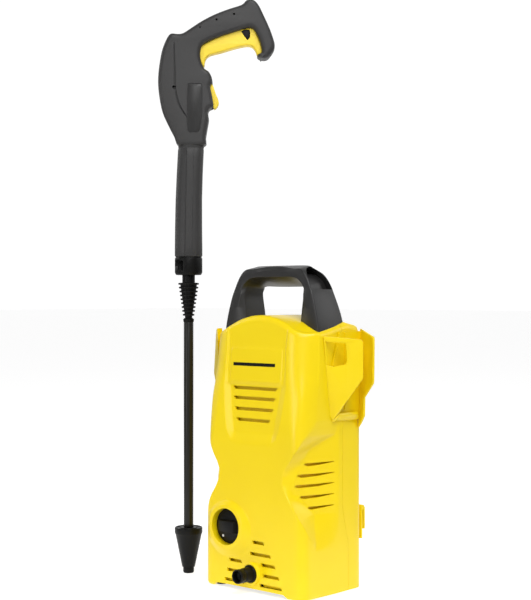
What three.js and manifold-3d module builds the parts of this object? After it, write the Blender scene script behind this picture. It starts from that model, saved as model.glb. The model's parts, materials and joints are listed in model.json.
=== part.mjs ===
// Compact upright pressure washer with its spray gun and lance, in millimetres, +Z up.
// -Y is the front face (dial and outlet), +X the side carrying the gun holster.
// The casing is worked out about the centre of its own footprint and moved by
// OFFSET at the end, so that the origin is the bottom centre of the whole assembly.
import * as THREE from 'three';
import Module from 'manifold-3d';

const wasm = await Module();
wasm.setup();
const { Manifold, Mesh: MMesh } = wasm;

// ---------------------------------------------------------------- dimensions
const OFFSET = [34.34, 9];        // move of the casing centre from the origin
const HALF_W = 90;               // casing half width at the feet and shoulders
const HALF_D = 65;               // casing half depth
const WALL = 2.6;                // moulded wall of the casing
const GAP = 0.3;                 // clearance between neighbouring pieces
const SEAM_Y = 18;               // parting plane of the two casing halves
const SEAM_LOW_Y = 32;           // same plane below the knee of the side
const HANDLE_TOP = 442;          // overall height of the washer itself
const LEG_OUT = 85, LEG_IN = 48; // carry handle legs, half widths
const LEG_FRONT = -26, LEG_BACK = 31;
const EAR_OUT = 128;             // reach of the side holders
const DIAL = { x: -43, z: 85, r: 25, depth: 9 };
const OUTLET = { x: 1, z: 26.5, r: 9.6 };
const AXIS = { x: 12, y: 6 };    // common axis of motor and pump
const PISTONS = 3, PISTON_R = 4.6, PISTON_PCD = 16;
const GUN = { x: -155, y: -29, turn: 42 * Math.PI / 180 };
const GUN_HALF_T = 17;           // half thickness of the gun body
const TUBE_R = 7;                // lance tube

// ------------------------------------------------------------------ helpers
function fromGeometry(g) {
  const c = g.index ? g.toNonIndexed() : g.clone();
  const p = c.getAttribute('position');
  const map = new Map(), verts = [], tris = [];
  for (let i = 0; i < p.count; i++) {
    const k = [p.getX(i), p.getY(i), p.getZ(i)].map(v => Math.round(v * 1e4)).join();
    if (!map.has(k)) { map.set(k, verts.length / 3); verts.push(p.getX(i), p.getY(i), p.getZ(i)); }
    tris.push(map.get(k));
  }
  const clean = [];
  for (let i = 0; i < tris.length; i += 3) {
    const [a, b, d] = tris.slice(i, i + 3);
    if (a !== b && b !== d && a !== d) clean.push(a, b, d);
  }
  const make = t => new Manifold(new MMesh({ numProp: 3, vertProperties: new Float32Array(verts), triVerts: new Uint32Array(t) }));
  const m = make(clean);
  if (m.volume() > 0) return m;
  for (let i = 0; i < clean.length; i += 3) [clean[i + 1], clean[i + 2]] = [clean[i + 2], clean[i + 1]];
  return make(clean);
}
function toGeometry(m) {
  const q = m.getMesh();
  const g = new THREE.BufferGeometry();
  const v = q.vertProperties, n = q.numProp, out = new Float32Array(q.triVerts.length * 3);
  for (let i = 0; i < q.triVerts.length; i++) for (let k = 0; k < 3; k++) out[3 * i + k] = v[q.triVerts[i] * n + k];
  g.setAttribute('position', new THREE.BufferAttribute(out, 3));
  g.computeVertexNormals();
  return g;
}
const box = (x0, x1, y0, y1, z0, z1) => {
  const g = new THREE.BoxGeometry(x1 - x0, y1 - y0, z1 - z0);
  g.translate((x0 + x1) / 2, (y0 + y1) / 2, (z0 + z1) / 2);
  return fromGeometry(g);
};
// round bar about an axis parallel to X, Y or Z; a and b are the two ends
function rod(axis, c, a, b, r1, r2 = r1, n = 20) {
  const g = new THREE.CylinderGeometry(r2, r1, b - a, n);
  g.translate(0, (a + b) / 2, 0);
  if (axis === 'z') { g.rotateX(Math.PI / 2); g.translate(c[0], c[1], 0); }
  if (axis === 'y') g.translate(c[0], 0, c[1]);
  if (axis === 'x') { g.rotateZ(-Math.PI / 2); g.translate(0, c[0], c[1]); }
  return fromGeometry(g);
}
// turned piece about a vertical line: profile is [radius, height] from axis to axis
function turned(profile, c = [0, 0], n = 24) {
  const g = new THREE.LatheGeometry(profile.map(p => new THREE.Vector2(p[0], p[1])), n);
  g.rotateX(Math.PI / 2);
  g.translate(c[0], c[1], 0);
  return fromGeometry(g);
}
function area(p) { let a = 0; for (let i = 0; i < p.length; i++) { const q = p[(i + 1) % p.length]; a += p[i][0] * q[1] - q[0] * p[i][1]; } return a / 2; }
// skin through rings of equal length, both ends capped
function loft(rings, drop = 2) {
  const n = rings[0].length, pos = [], tri = [];
  rings.forEach(r => r.forEach(p => pos.push(...p)));
  for (let i = 0; i + 1 < rings.length; i++) for (let j = 0; j < n; j++) {
    const a = i * n + j, b = i * n + (j + 1) % n, c = a + n, d = b + n;
    tri.push(a, b, d, a, d, c);
  }
  const flat = k => rings[k].map(p => new THREE.Vector2(...p.filter((_, i) => i !== drop)));
  for (const [k, flip] of [[0, true], [rings.length - 1, false]]) {
    const f = flat(k), ccw = area(f.map(v => [v.x, v.y])) > 0;
    for (const t of THREE.ShapeUtils.triangulateShape(f, [])) {
      const s = flip === ccw ? [t[0], t[2], t[1]] : t;
      tri.push(...s.map(i => k * n + i));
    }
  }
  const g = new THREE.BufferGeometry();
  g.setAttribute('position', new THREE.BufferAttribute(new Float32Array(pos), 3));
  g.setIndex(tri);
  return fromGeometry(g);
}
// flat outline swept straight: 'z' [x,y], 'y' [x,z], 'x' [y,z]
function slab(axis, pts, a, b) {
  const at = { z: (p, w) => [p[0], p[1], w], y: (p, w) => [p[0], w, p[1]], x: (p, w) => [w, p[0], p[1]] }[axis];
  const poly = area(pts) > 0 ? pts : [...pts].reverse();
  const rings = [poly.map(p => at(p, a)), poly.map(p => at(p, b))];
  return loft(rings, { z: 2, y: 1, x: 0 }[axis]);
}
const mirrorX = pts => [...pts, ...pts.slice().reverse().filter(p => Math.abs(p[0]) > 1e-6).map(p => [-p[0], p[1]])];
// outline moved outwards by d (inwards when negative)
function grow(pts, d) {
  const p = area(pts) > 0 ? pts : [...pts].reverse(), n = p.length, out = [];
  for (let i = 0; i < n; i++) {
    const a = p[(i + n - 1) % n], b = p[i], c = p[(i + 1) % n];
    const u = [b[0] - a[0], b[1] - a[1]], v = [c[0] - b[0], c[1] - b[1]];
    const lu = Math.hypot(...u), lv = Math.hypot(...v);
    const n1 = [u[1] / lu, -u[0] / lu], n2 = [v[1] / lv, -v[0] / lv];
    const m = [n1[0] + n2[0], n1[1] + n2[1]], l = Math.hypot(...m);
    const k = Math.min(d / Math.max(0.5, (l / 2)), 1.6 * Math.abs(d)) * (d < 0 ? 1 : 1);
    out.push([b[0] + m[0] / l * k, b[1] + m[1] / l * k]);
  }
  return out;
}
const turn2 = (pts, c, deg) => {
  const t = deg * Math.PI / 180, s = Math.sin(t), k = Math.cos(t);
  return pts.map(([x, y]) => [c[0] + (x - c[0]) * k - (y - c[1]) * s, c[1] + (x - c[0]) * s + (y - c[1]) * k]);
};
const union = list => list.reduce((a, b) => a.add(b));

const group = new THREE.Group();
group.name = 'pressure_washer';
const COLOURS = {
  yellow: [0xe3b100, 0, 0.42], black: [0x17181a, 0, 0.55], rubber: [0x0f0f10, 0, 0.85],
  steel: [0x9aa0a6, 1, 0.35], alu: [0xb5b8bb, 1, 0.45], brass: [0xb58a3a, 1, 0.35], copper: [0xa65a2c, 1, 0.4],
};
function put(name, solid, colour) {
  const parts = solid.decompose ? solid.decompose() : [solid];
  const main = parts.length > 1 ? parts.reduce((a, b) => (a.volume() > b.volume() ? a : b)) : solid;
  const g = toGeometry(main);
  g.translate(OFFSET[0], OFFSET[1], 0);
  const [c, metalness, roughness] = COLOURS[colour];
  const mesh = new THREE.Mesh(g, new THREE.MeshStandardMaterial({ color: c, metalness, roughness }));
  mesh.name = name;
  group.add(mesh);
}

// ------------------------------------------------------------------- casing
// one row per height: z, front half width, front y, chamfer point, side start, flush start, rear y, side x
const ROWS = [
  [1.2, 72, -63, 83, -60, 87.5, -50, 88, 6, 63, 88],
  [6, 75, -65, 86, -61, 90, -50, 90, 8, 65, 90],
  [60, 74, -65, 86, -60, 90, -48, 90, 8, 65, 90],
  [82, 70, -65, 80, -58, 85, -42, 90, 8, 65, 90],
  [105, 66, -65, 73, -58, 78, -36, 90, 8, 65, 90],
  [150, 60, -65, 67, -58, 75, -32, 90, 8, 65, 90],
  [195, 62, -65, 69, -57, 77, -30, 90, 6, 65, 90],
  [225, 66, -63.8, 75, -54, 84, -28, 90, 4, 65, 90],
  [250, 69, -61.6, 79, -50, 88, -27, 90, 2, 65, 90],
  [295, 72, -57.8, 82, -46, 90, -26, 90, 2, 65, 90],
  [340, 73, -55, 82, -44, 89, -26, 90, 2, 64, 90],
  [350, 71, -52, 79, -42, 86, -25, 87, 2, 62, 87],
  [356, 64, -49, 73, -38, 82, -22, 85, 4, 59, 85],
  [363, 45, -44, 58, -34, 72, -14, 80, 12, 55, 80],
  [369, 28, -36, 42, -26, 56, -8, 66, 14, 46, 68],
  [373, 12, -24, 22, -18, 32, -6, 40, 10, 34, 44],
];
function section(r, inset = 0, z = r[0]) {
  const [, f, yf, mx, my, sx, sy, qx, qy, yr, ax] = r;
  const half = [[0, yf], [f * 0.5, yf], [f, yf], [mx, my], [sx, sy], [qx, qy], [ax, yr - 14], [ax - 4, yr - 4], [ax - 14, yr], [ax * 0.4, yr], [0, yr]];
  const right = half.map(([x, y]) => {
    const kx = 1 - inset / HALF_W * 1.15, ky = 1 - inset / HALF_D * 1.1;
    return [x * kx, y * ky, z];
  });
  const left = right.slice(1, -1).reverse().map(([x, y, w]) => [-x, y, w]);
  return [...right, ...left];
}
const outer = loft(ROWS.map(r => section(r)));
const innerRows = ROWS.filter(r => r[0] < 364);
const inner = loft(innerRows.map((r, i) => section(r, WALL, i === 0 ? -5 : i === innerRows.length - 1 ? 360.5 : r[0])));
let shell = outer.subtract(inner);

// conical surround of the dial and the ring round the outlet
shell = shell.add(rod('y', [DIAL.x, DIAL.z], -70.5, -63.5, 29, 40, 32));
shell = shell.subtract(rod('y', [DIAL.x, DIAL.z], -80, -50, DIAL.r, DIAL.r, 32));
shell = shell.add(rod('y', [DIAL.x, DIAL.z], -60.6, -58.4, DIAL.r + 2, DIAL.r + 2, 32).subtract(rod('y', [DIAL.x, DIAL.z], -80, -50, 8, 8, 16)));
shell = shell.add(rod('y', [OUTLET.x, OUTLET.z], -70, -63, 15, 16.5, 24));
shell = shell.subtract(rod('y', [OUTLET.x, OUTLET.z], -80, -50, 11.9, 11.9, 24));

// label field, slightly sunk into the sloping upper front
shell = shell.subtract(loft([
  [[-54, -53.7, 350], [54, -53.7, 350], [54, -80, 350], [-54, -80, 350]],
  [[-50, -57.6, 283], [50, -57.6, 283], [50, -80, 283], [-50, -80, 283]],
]));
// sunk field that carries the slots and narrows to a point below them
shell = shell.subtract(slab('y', mirrorX([[0, 196], [17, 197], [30, 214], [43, 281], [0, 281]]), -80, -63.9));

// ventilation slots of the front
for (const [z, w] of [[275, 38.7], [261.4, 36.4], [246.3, 33.4], [231.6, 28.8]])
  shell = shell.subtract(box(-w, w, -80, -50, z - 2.2, z + 2.2));
for (const [z, a, b] of [[68.8, 1.3, 22.9], [53, -3, 34.8], [40, 18, 42.7], [26, 22, 49.7], [12.4, 14, 54.4], [26, -40, -24], [12.4, -49.5, -12]])
  shell = shell.subtract(box(a, b, -80, -50, z - 2.2, z + 2.2));
// arrow ended slots of both flanks
for (const z of [176, 162, 149, 134, 118]) for (const s of [1, -1])
  shell = shell.subtract(slab('z', [[s * 50, -27], [s * 95, -27], [s * 95, 3], [s * 50, 3]], z - 1.9, z + 1.9));
// arch under the front edge
shell = shell.subtract(slab('y', [[-70, -4], [61, -4], [55, 5.5], [-64, 5.5]], -80, -40));
// seats of the handle legs
for (const s of [1, -1]) {
  const a = s * (LEG_IN - GAP), b = s * (LEG_OUT + 0.8 + GAP);
  shell = shell.subtract(box(Math.min(a, b), Math.max(a, b), LEG_FRONT - GAP, LEG_BACK + GAP, 346, 400));
}
// rear openings: inlet, cable gland, screw bores
const SCREWS = [[-72, 30], [72, 30], [-72, 310], [72, 310]];
shell = shell.subtract(rod('y', [30, 42], 40, 80, 11, 11, 24));
shell = shell.subtract(rod('y', [-50, 36], 40, 80, 6.4, 6.4, 16));
for (const [x, z] of SCREWS) shell = shell.subtract(rod('y', [x, z], 40, 80, 4.4, 4.4, 14));

const parting = d => [[-120, -20], [-120, 420], [SEAM_Y + d, 420], [SEAM_Y + d, 150], [SEAM_LOW_Y + d, 88], [SEAM_LOW_Y + d, -20]];
const frontHalf = shell.intersect(slab('x', parting(-GAP / 2), -150, 150));
const rearHalf = shell.subtract(slab('x', parting(GAP / 2), -150, 150));
put('front_shell', frontHalf, 'yellow');
put('rear_shell', rearHalf, 'yellow');

// ------------------------------------------------------------- carry handle
const archOut = mirrorX([[LEG_OUT + 0.8, 346.6], [LEG_OUT, 380], [83, 398], [78, 413], [70, 427], [60, 436], [50, 440.3], [36, 441.8], [0, 442]]);
const archIn = mirrorX([[LEG_IN, 346.6], [LEG_IN + 0.6, 385], [LEG_IN + 1.5, 402], [LEG_IN - 2, 413], [LEG_IN - 9, 419], [0, 420]]);
const depthOut = [[LEG_FRONT, 340], [LEG_BACK, 340], [LEG_BACK, 378], [28, 408], [23, 427], [14, 438], [4, HANDLE_TOP], [-6, HANDLE_TOP], [-14, 438.5], [-20, 430], [-24, 410], [LEG_FRONT, 376]];
const archHollow = mirrorX([[LEG_OUT - 2.2, 330], [LEG_OUT - 3, 380], [80, 397], [75, 411], [68, 424], [58, 433], [49, 437.2], [36, 438.8], [0, 439]]);
const archHollowIn = mirrorX([[LEG_IN + 3, 330], [LEG_IN + 3.6, 385], [LEG_IN + 4.6, 403], [LEG_IN + 1, 415], [LEG_IN - 8, 422.2], [0, 423]]);
const ringOf = (o, i, y0, y1) => slab('y', o, y0, y1).subtract(slab('y', i, y0 - 1, y1 + 1));
let handle = ringOf(archOut, [...archIn.slice(0)].map(p => (p[1] < 347 ? [p[0], 300] : p)), LEG_FRONT, LEG_BACK)
  .intersect(slab('x', depthOut, -120, 120));
let hollow = ringOf(archHollow, archHollowIn.map(p => (p[1] < 331 ? [p[0], 300] : p)), LEG_FRONT + 3, LEG_BACK - 3)
  .intersect(slab('x', grow(depthOut, -3), -120, 120));
handle = handle.subtract(hollow);
for (const s of [1, -1]) handle = handle.subtract(box(Math.min(s * 66, s * 95), Math.max(s * 66, s * 95), -8, 14, 411, 426));
put('carry_handle', handle, 'black');

// ------------------------------------------------------- side holders (ears)
function holder(side, dy) {
  const s = side, X = x => s * x;
  const at = (x, y, z) => [X(x), y + dy, z];
  const plate = box(Math.min(X(90.4), X(93)), Math.max(X(90.4), X(93)), -6 + dy, 60 + dy, 232, 340);
  const frontEar = loft([
    [at(91, -20, 342), at(EAR_OUT, 15, 342), at(EAR_OUT, 15, 289), at(91, -2, 232), at(91, -20, 262)],
    [at(91, -15.6, 342), at(EAR_OUT - 3, 17, 342), at(EAR_OUT - 3, 17, 289), at(91, 2.6, 232), at(91, -15.6, 262)],
  ], 1).subtract(slab('x', [[-60 + dy, 300], [-2 + dy, 300], [-4 + dy, 350], [-60 + dy, 350]], Math.min(X(80), X(107)), Math.max(X(80), X(107))));
  const rearEar = loft([
    [at(91, 60, 350), at(EAR_OUT, 45, 343), at(EAR_OUT, 45, 279), at(91, 45, 232)],
    [at(91, 56.6, 350), at(EAR_OUT, 41.6, 343), at(EAR_OUT, 41.6, 279), at(91, 41.6, 232)],
  ], 1);
  const foot = loft([
    [at(91, -4, 233), at(99, 4, 244), at(99, 42, 244), at(91, 46, 233)],
    [at(91, -4, 237), at(97, 4, 247.5), at(97, 42, 247.5), at(91, 46, 237)],
  ], 2);
  return union([plate, frontEar, rearEar, foot]);
}
put('gun_holster', holder(1, 0), 'yellow');
// the far holder sits further forward; its back follows the rounded front corner
put('lance_holder', holder(-1, -26).subtract(slab('z', grow(section(ROWS[9]).map(p => [p[0], p[1]]), 0.35), 225, 352)), 'yellow');

// -------------------------------------------------------- base and fittings
const baseOutline = section(ROWS[1], WALL + 0.9).map(p => [p[0], p[1]]);
let base = slab('z', baseOutline, 6.5, 9.5);
base = base.subtract(slab('y', [[-71, 0], [62, 0], [62, 12], [-71, 12]], -80, -58));
put('base_plate', base, 'black');
let padNo = 0;
for (const [x, y] of [[-72, -46], [72, -46], [72, 46], [-72, 46]])
  put(`foot_pad_${++padNo}`, turned([[0, 0], [8.5, 0], [9, 1], [9, 6.2], [0, 6.2]], [x, y], 16), 'rubber');

// dial with its wedge shaped grip bar
let dial = rod('y', [DIAL.x, DIAL.z], -64.6, -61, DIAL.r - 0.8, DIAL.r - 0.5, 32);
dial = dial.add(loft([
  [[-63, -64, 78.5], [-63, -64, 91.5], [-62, -70, 90], [-62, -70, 80]].map(p => p),
  [[-28, -64, 75.5], [-28, -64, 94.5], [-30, -71.5, 92.5], [-30, -71.5, 77.5]],
], 0));
dial = dial.add(rod('y', [DIAL.x, DIAL.z], -62, -54, 4, 4, 12));
put('switch_dial', dial, 'black');
put('switch_block', box(DIAL.x - 18, DIAL.x + 15, -54, -30, DIAL.z - 20, DIAL.z + 20)
  .add(rod('y', [DIAL.x, DIAL.z], -57.8, -53, 12, 12, 20))
  .subtract(rod('y', [DIAL.x, DIAL.z], -60, -46, 4.5, 4.5, 12)), 'black');

// water outlet: bored stub with a locking collar
put('outlet_stub', turned([[4.5, 0], [OUTLET.r, 0], [OUTLET.r, 20], [OUTLET.r - 1.6, 21], [OUTLET.r - 1.6, 24], [OUTLET.r, 25], [OUTLET.r, 31], [OUTLET.r - 0.8, 32], [4.5, 32], [4.5, 0]], [0, 0], 24)
  .rotate([90, 0, 0]).translate([OUTLET.x, -63, OUTLET.z]), 'black');
put('outlet_collar', rod('y', [OUTLET.x, OUTLET.z], -72, -60, 11.5, 11.5, 24).subtract(rod('y', [OUTLET.x, OUTLET.z], -80, -50, OUTLET.r + 0.35, OUTLET.r + 0.35, 24)), 'black');

// water inlet, strainer, cable gland and the hook on the back
const IN = [30, 42];
put('inlet_coupling', rod('y', IN, 46, 65.4, 10.6, 10.6, 20).add(rod('y', IN, 65.4, 76.5, 13.5, 12.5, 20)).subtract(rod('y', IN, 50, 90, 8, 8, 20)).subtract(rod('y', IN, 40, 60, 5, 5, 16)), 'brass');
put('inlet_strainer', rod('y', IN, 51, 70, 7.2, 6.4, 14).subtract(rod('y', IN, 53, 80, 5.4, 5, 14)), 'steel');
put('cable_gland', rod('y', [-50, 36], 56, 65.4, 6, 6, 16).add(rod('y', [-50, 36], 65.4, 70, 9, 8.5, 16)).add(rod('y', [-50, 36], 70, 76.5, 6, 4.5, 16)).subtract(rod('y', [-50, 36], 40, 90, 3, 3, 10)), 'rubber');
put('rear_hook', box(54, 86, 65.4, 68.4, 66, 112).add(slab('x', [[65.4, 112], [77, 108], [77, 78], [74, 76], [74, 104], [65.4, 107]], 58, 82)), 'yellow');
let screwNo = 0;
for (const [x, z] of SCREWS)
  put(`casing_screw_${++screwNo}`, rod('y', [x, z], 48, 60.5, 2, 2, 10).add(rod('y', [x, z], 60.5, 63.6, 4, 4, 14)).subtract(box(x - 2.6, x + 2.6, 62.4, 66, z - 0.5, z + 0.5)), 'steel');

// ------------------------------------------------------------ motor and pump
const A = [AXIS.x, AXIS.y];
put('pump_bracket', box(A[0] - 26, A[0] + 26, A[1] - 22, A[1] + 22, 9.8, 12.8)
  .add(box(A[0] - 26, A[0] - 23, A[1] - 22, A[1] + 22, 9.8, 19.7)).add(box(A[0] + 23, A[0] + 26, A[1] - 22, A[1] + 22, 9.8, 19.7)), 'steel');
const head = rod('z', A, 20, 57.7, 31, 31, 24);
let headCut = head.subtract(rod('y', [OUTLET.x, OUTLET.z], -40, -10, 4, 4, 12)).subtract(rod('y', IN, 20, 60, 4, 4, 12));
for (let i = 0; i < PISTONS; i++) {
  const t = (i * 360 / PISTONS + 90) * Math.PI / 180;
  headCut = headCut.subtract(rod('z', [A[0] + PISTON_PCD * Math.cos(t), A[1] + PISTON_PCD * Math.sin(t)], 46, 60, 5, 5, 16));
}
put('pump_head', headCut, 'brass');
let pump = rod('z', A, 58, 127.7, 33, 36, 28).subtract(rod('z', A, 92, 130, 28, 28, 24));
for (let i = 0; i < PISTONS; i++) {
  const t = (i * 360 / PISTONS + 90) * Math.PI / 180;
  pump = pump.subtract(rod('z', [A[0] + PISTON_PCD * Math.cos(t), A[1] + PISTON_PCD * Math.sin(t)], 50, 95, PISTON_R + 0.4, PISTON_R + 0.4, 16));
}
put('pump_body', pump, 'alu');
for (let i = 0; i < PISTONS; i++) {
  const t = (i * 360 / PISTONS + 90) * Math.PI / 180, c = [A[0] + PISTON_PCD * Math.cos(t), A[1] + PISTON_PCD * Math.sin(t)];
  put(`piston_${i + 1}`, rod('z', c, 54, 102, PISTON_R, PISTON_R, 16).add(rod('z', c, 101, 103.5, 6.6, 6.6, 16)), 'steel');
}
// swash plate: a round plate cut askew, on the motor shaft
const swash = rod('z', A, 102, 118, 24, 24, 24).subtract(loft([
  [[-40, -40, 90], [40, -40, 90], [40, 40, 90], [-40, 40, 90]],
  [[-40, -40, 102.8], [40, -40, 108.8], [40, 40, 108.8], [-40, 40, 102.8]],
].map(r => r.map(([x, y, z]) => [x + A[0], y + A[1], z])))).subtract(rod('z', A, 80, 130, 6.4, 6.4, 16));
put('swash_plate', swash, 'steel');
put('motor_housing', rod('z', A, 128, 262, 44, 44, 32).subtract(rod('z', A, 132, 270, 41.4, 41.4, 32)).subtract(rod('z', A, 120, 140, 9, 9, 20)), 'alu');
put('stator', rod('z', A, 155, 232, 41, 41, 28).subtract(rod('z', A, 150, 240, 26, 26, 24)), 'copper');
put('motor_rotor', rod('z', A, 108.5, 292, 6, 6, 16).add(rod('z', A, 153, 234, 25, 25, 24)), 'steel');
put('end_bell', rod('z', A, 262.3, 267, 44, 40, 28).subtract(rod('z', A, 250, 280, 9, 9, 16)), 'alu');
let fan = rod('z', A, 270, 288, 11, 11, 18).subtract(rod('z', A, 260, 300, 6.4, 6.4, 16));
for (let i = 0; i < 7; i++) {
  const blade = loft([
    [[9.6, -6, 271], [9.6, -4.4, 271], [9.6, 6, 287], [9.6, 4.4, 287]].map(p => [p[0], p[1], p[2]]),
    [[37, -9, 272], [37, -7.4, 272], [37, 8, 286], [37, 6.4, 286]],
  ], 0);
  fan = fan.add(blade.rotate([0, 0, i * 360 / 7]).translate([A[0], A[1], 0]));
}
put('cooling_fan', fan, 'black');
put('capacitor', rod('z', [-60, 20], 236, 306, 17, 17, 24).add(rod('z', [-60, 20], 305.9, 310, 15, 13, 24)), 'black');
put('pressure_switch', box(44.6, 62, -20, 12, 28, 56).add(rod('z', [53, -4], 55.9, 70, 7, 7, 16)), 'black');
put('outlet_pipe', rod('y', [OUTLET.x, OUTLET.z], -62.6, -22.4, 7, 7, 16).subtract(rod('y', [OUTLET.x, OUTLET.z], -70, 0, 4, 4, 12)).subtract(rod('z', A, 0, 60, 31.3, 31.3, 24)), 'brass');
put('inlet_pipe', rod('y', IN, 33, 45.7, 7, 7, 16).subtract(rod('y', IN, 20, 60, 4, 4, 12)).subtract(rod('z', A, 0, 60, 31.3, 31.3, 24)), 'black');

// ----------------------------------------------------------- gun and lance
// the gun profile is drawn in a vertical plane: u along the grip, z upright
const OUT = [[-15, 616], [-22.6, 628.9], [-30.6, 646.6], [-37, 664.2], [-41.1, 683.5], [-43.3, 702.8], [-43, 718.9], [-41.1, 735], [-38.2, 751], [-33.8, 763.9], [-28.5, 773.9], [-23.9, 777.4], [-15.4, 776.4], [-7.3, 778], [3.9, 785.1], [20, 795.6], [39.3, 805.4], [58.6, 812.8], [77.1, 818.5], [84, 825.6], [93.9, 826.3], [101.2, 818.5], [108.4, 804.1], [116.5, 786.4], [121.6, 772.7], [124.8, 761.5], [122.9, 755.1], [118.4, 747.8], [112.9, 741.9], [104.4, 742], [98.8, 744.9], [109.2, 750.2], [106, 763.9], [101.7, 776], [97.2, 783.7], [91.5, 787.7], [84.3, 787.2], [71.4, 783.2], [55.4, 778], [39.3, 772.3], [26.4, 766.6], [16.8, 760.4], [12.3, 752.6], [12, 743], [15.5, 733.4], [21.9, 725.3], [30.9, 721.3], [34.2, 713.3], [34.8, 705.7], [29.7, 702.5], [30.9, 691.6], [32.9, 682.7], [35.6, 676.3], [35.1, 672.6], [29.7, 669.4], [28, 663.9], [29.7, 654.6], [27.4, 643.4], [25, 628.9], [22.4, 616]];
const TRIG = [[20.6, 731], [15.6, 741.1], [14.8, 751.4], [17.8, 759.6], [26.6, 765.2], [46.8, 775.5], [68.9, 782.9], [89.6, 786.6], [95.6, 783.3], [100.6, 773.3], [105, 761.6], [107, 750.8], [99.6, 747], [96.8, 753.4], [92.8, 758.9], [85.2, 761.2], [68.9, 758.2], [46.8, 751.6], [32, 747.8], [25.6, 743.2], [23.4, 737], [22.8, 731.6]];
const TRIG_PIVOT = [19.2, 745];
const LOCK = [[76.3, 781], [81, 783.4], [88.1, 783.4], [89, 778], [88.4, 772.6], [85.6, 768.4], [81.2, 773.6]];
const LATCH = [[30.5, 704.2], [35, 705.2], [39.4, 692.4], [43.1, 683.5], [43.8, 677.6], [40.9, 671.7], [36.4, 669.5], [34.2, 679.1], [31.3, 695.3]];
const place = m => m.rotate([0, 0, GUN.turn * 180 / Math.PI]).translate([GUN.x, GUN.y, 0]);
const gslab = (pts, a, b) => slab('y', pts, a, b);
const pocketT = union([0, 3, 6].map(d => gslab(grow(turn2(TRIG, TRIG_PIVOT, d), 0.9), -9.3, 9.3)));
const pocketK = union([0, 3, 6].map(d => gslab(grow(turn2(LOCK, TRIG_PIVOT, d), 0.5), -11.5, 9.3)));
const pocketL = union([0, -4].map(d => gslab(grow(turn2(LATCH, [33, 695], d), 0.7), -7.4, 7.4)));
// body outline with chamfered flanks, hollow inside
const CHEEK = [[-13, 618], [-19, 631], [-27, 649], [-33, 667], [-37, 686], [-39, 704], [-38.6, 719], [-37, 734], [-34, 749], [-30, 761], [-24, 771], [-15, 771.5], [-5, 773], [6, 779], [22, 789], [40, 799], [59, 806.5], [79, 812], [86, 819], [93, 819.5], [97, 815], [104, 801], [111, 785], [117, 771], [119.6, 762], [113, 753], [109, 765], [104, 778], [99, 787], [91.5, 791.5], [83, 790.6], [70, 786.6], [54, 781.5], [38, 776], [24, 770], [13, 763], [8, 754], [8, 741], [12, 731], [19, 722], [27, 717], [30, 711], [29, 704], [26, 702], [27, 690], [29, 681], [29, 673], [26, 670], [24.6, 663], [26, 654], [23.6, 643], [21, 629], [19, 618]];
const bodySolid = gslab(OUT, -14.2, 14.2).add(gslab(CHEEK, -GUN_HALF_T, GUN_HALF_T));
const cavity = gslab([[-14, 620], [-21, 634], [-29, 652], [-36, 680], [-38, 704], [-37, 722], [-35, 742], [-31, 757], [-26, 768], [-16, 770], [-4, 772], [6, 756], [6, 738], [12, 726], [24, 717], [28, 708], [24, 700], [27, 676], [23, 662], [20, 640], [16, 620]], -13, 13);
let body = bodySolid.subtract(cavity).subtract(pocketT).subtract(pocketK).subtract(pocketL);
body = body.subtract(box(-19.4, 19.4, -14, 14, 600, 622));
const leftHalf = body.intersect(box(-80, 160, 0.15, 40, 580, 860));
const rightHalf = body.intersect(box(-80, 160, -40, -0.15, 580, 860));
put('gun_shell_near', place(rightHalf), 'black');
put('gun_shell_far', place(leftHalf), 'black');
put('gun_trigger', place(gslab(TRIG, -8.3, 8.3).subtract(gslab(grow(LOCK, 0.4), -20, 20)).subtract(rod('y', TRIG_PIVOT, -20, 20, 2.3, 2.3, 12))), 'yellow');
put('trigger_pin', place(rod('y', TRIG_PIVOT, -8.9, 8.9, 1.9, 1.9, 12)), 'steel');
put('trigger_lock', place(gslab(LOCK, -8.9, 8.9)), 'black');
put('hose_latch', place(gslab(LATCH, -6.8, 6.8)), 'yellow');
put('valve_body', place(rod('z', [-5, 0], 690, 742, 8, 8, 20).subtract(rod('z', [-5, 0], 700, 760, 2.6, 2.6, 12))), 'brass');
put('valve_pin', place(rod('z', [-5, 0], 712, 750, 2.2, 2.2, 12).add(rod('z', [-5, 0], 749.9, 753, 4, 4, 14))), 'steel');
put('feed_pipe', place(rod('z', [-5, 0], 470, 689.7, 4.5, 4.5, 14).subtract(rod('z', [-5, 0], 460, 700, 3, 3, 10))), 'brass');

// straight grip below the gun body, bayonet collar and lance
const ovalRing = (z, w, d, crease) => {
  const r = [];
  for (let i = 0; i < 24; i++) { const t = i / 24 * 2 * Math.PI; r.push([Math.cos(t) * w + crease, Math.sin(t) * d, z]); }
  return r;
};
const gripSkin = loft([ovalRing(457, 20, 18.6, 0), ovalRing(462, 19.8, 18.4, 0), ovalRing(540, 19, 17.6, 0.4), ovalRing(605, 18.7, 16.4, 3), ovalRing(615.6, 18.7, 15.4, 3.7)]);
put('grip_tube', place(gripSkin.subtract(loft([ovalRing(455, 15.4, 14.6, 0), ovalRing(540, 15.4, 14, 0.4), ovalRing(620, 15, 12.4, 3.7)]))), 'black');
put('bayonet_collar', place(turned([[10, 430], [18.6, 430], [19.8, 432], [19.8, 455], [19.2, 456.6], [10, 456.6], [10, 430]], [0, 0], 16).subtract(box(-17, -5, -30, -10, 436, 454))), 'black');
const ribs = [[4.2, 445], [9.2, 445], [9.2, 418.3]];
for (let i = 0; i < 8; i++) { const z = 418 - i * 6.6, r = 15 - i * 0.95; ribs.push([r, z], [r - 0.4, z - 4], [r - 2.2, z - 4.4]); }
ribs.push([7.6, 363], [4.2, 363], [4.2, 445]);
put('lance_neck', place(turned(ribs, [0, 0], 14)), 'black');
put('lance_tube', place(turned([[4.8, 66.5], [TUBE_R, 66.5], [TUBE_R, 362.6], [4.8, 362.6], [4.8, 66.5]], [0, 0], 20)), 'black');
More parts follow.
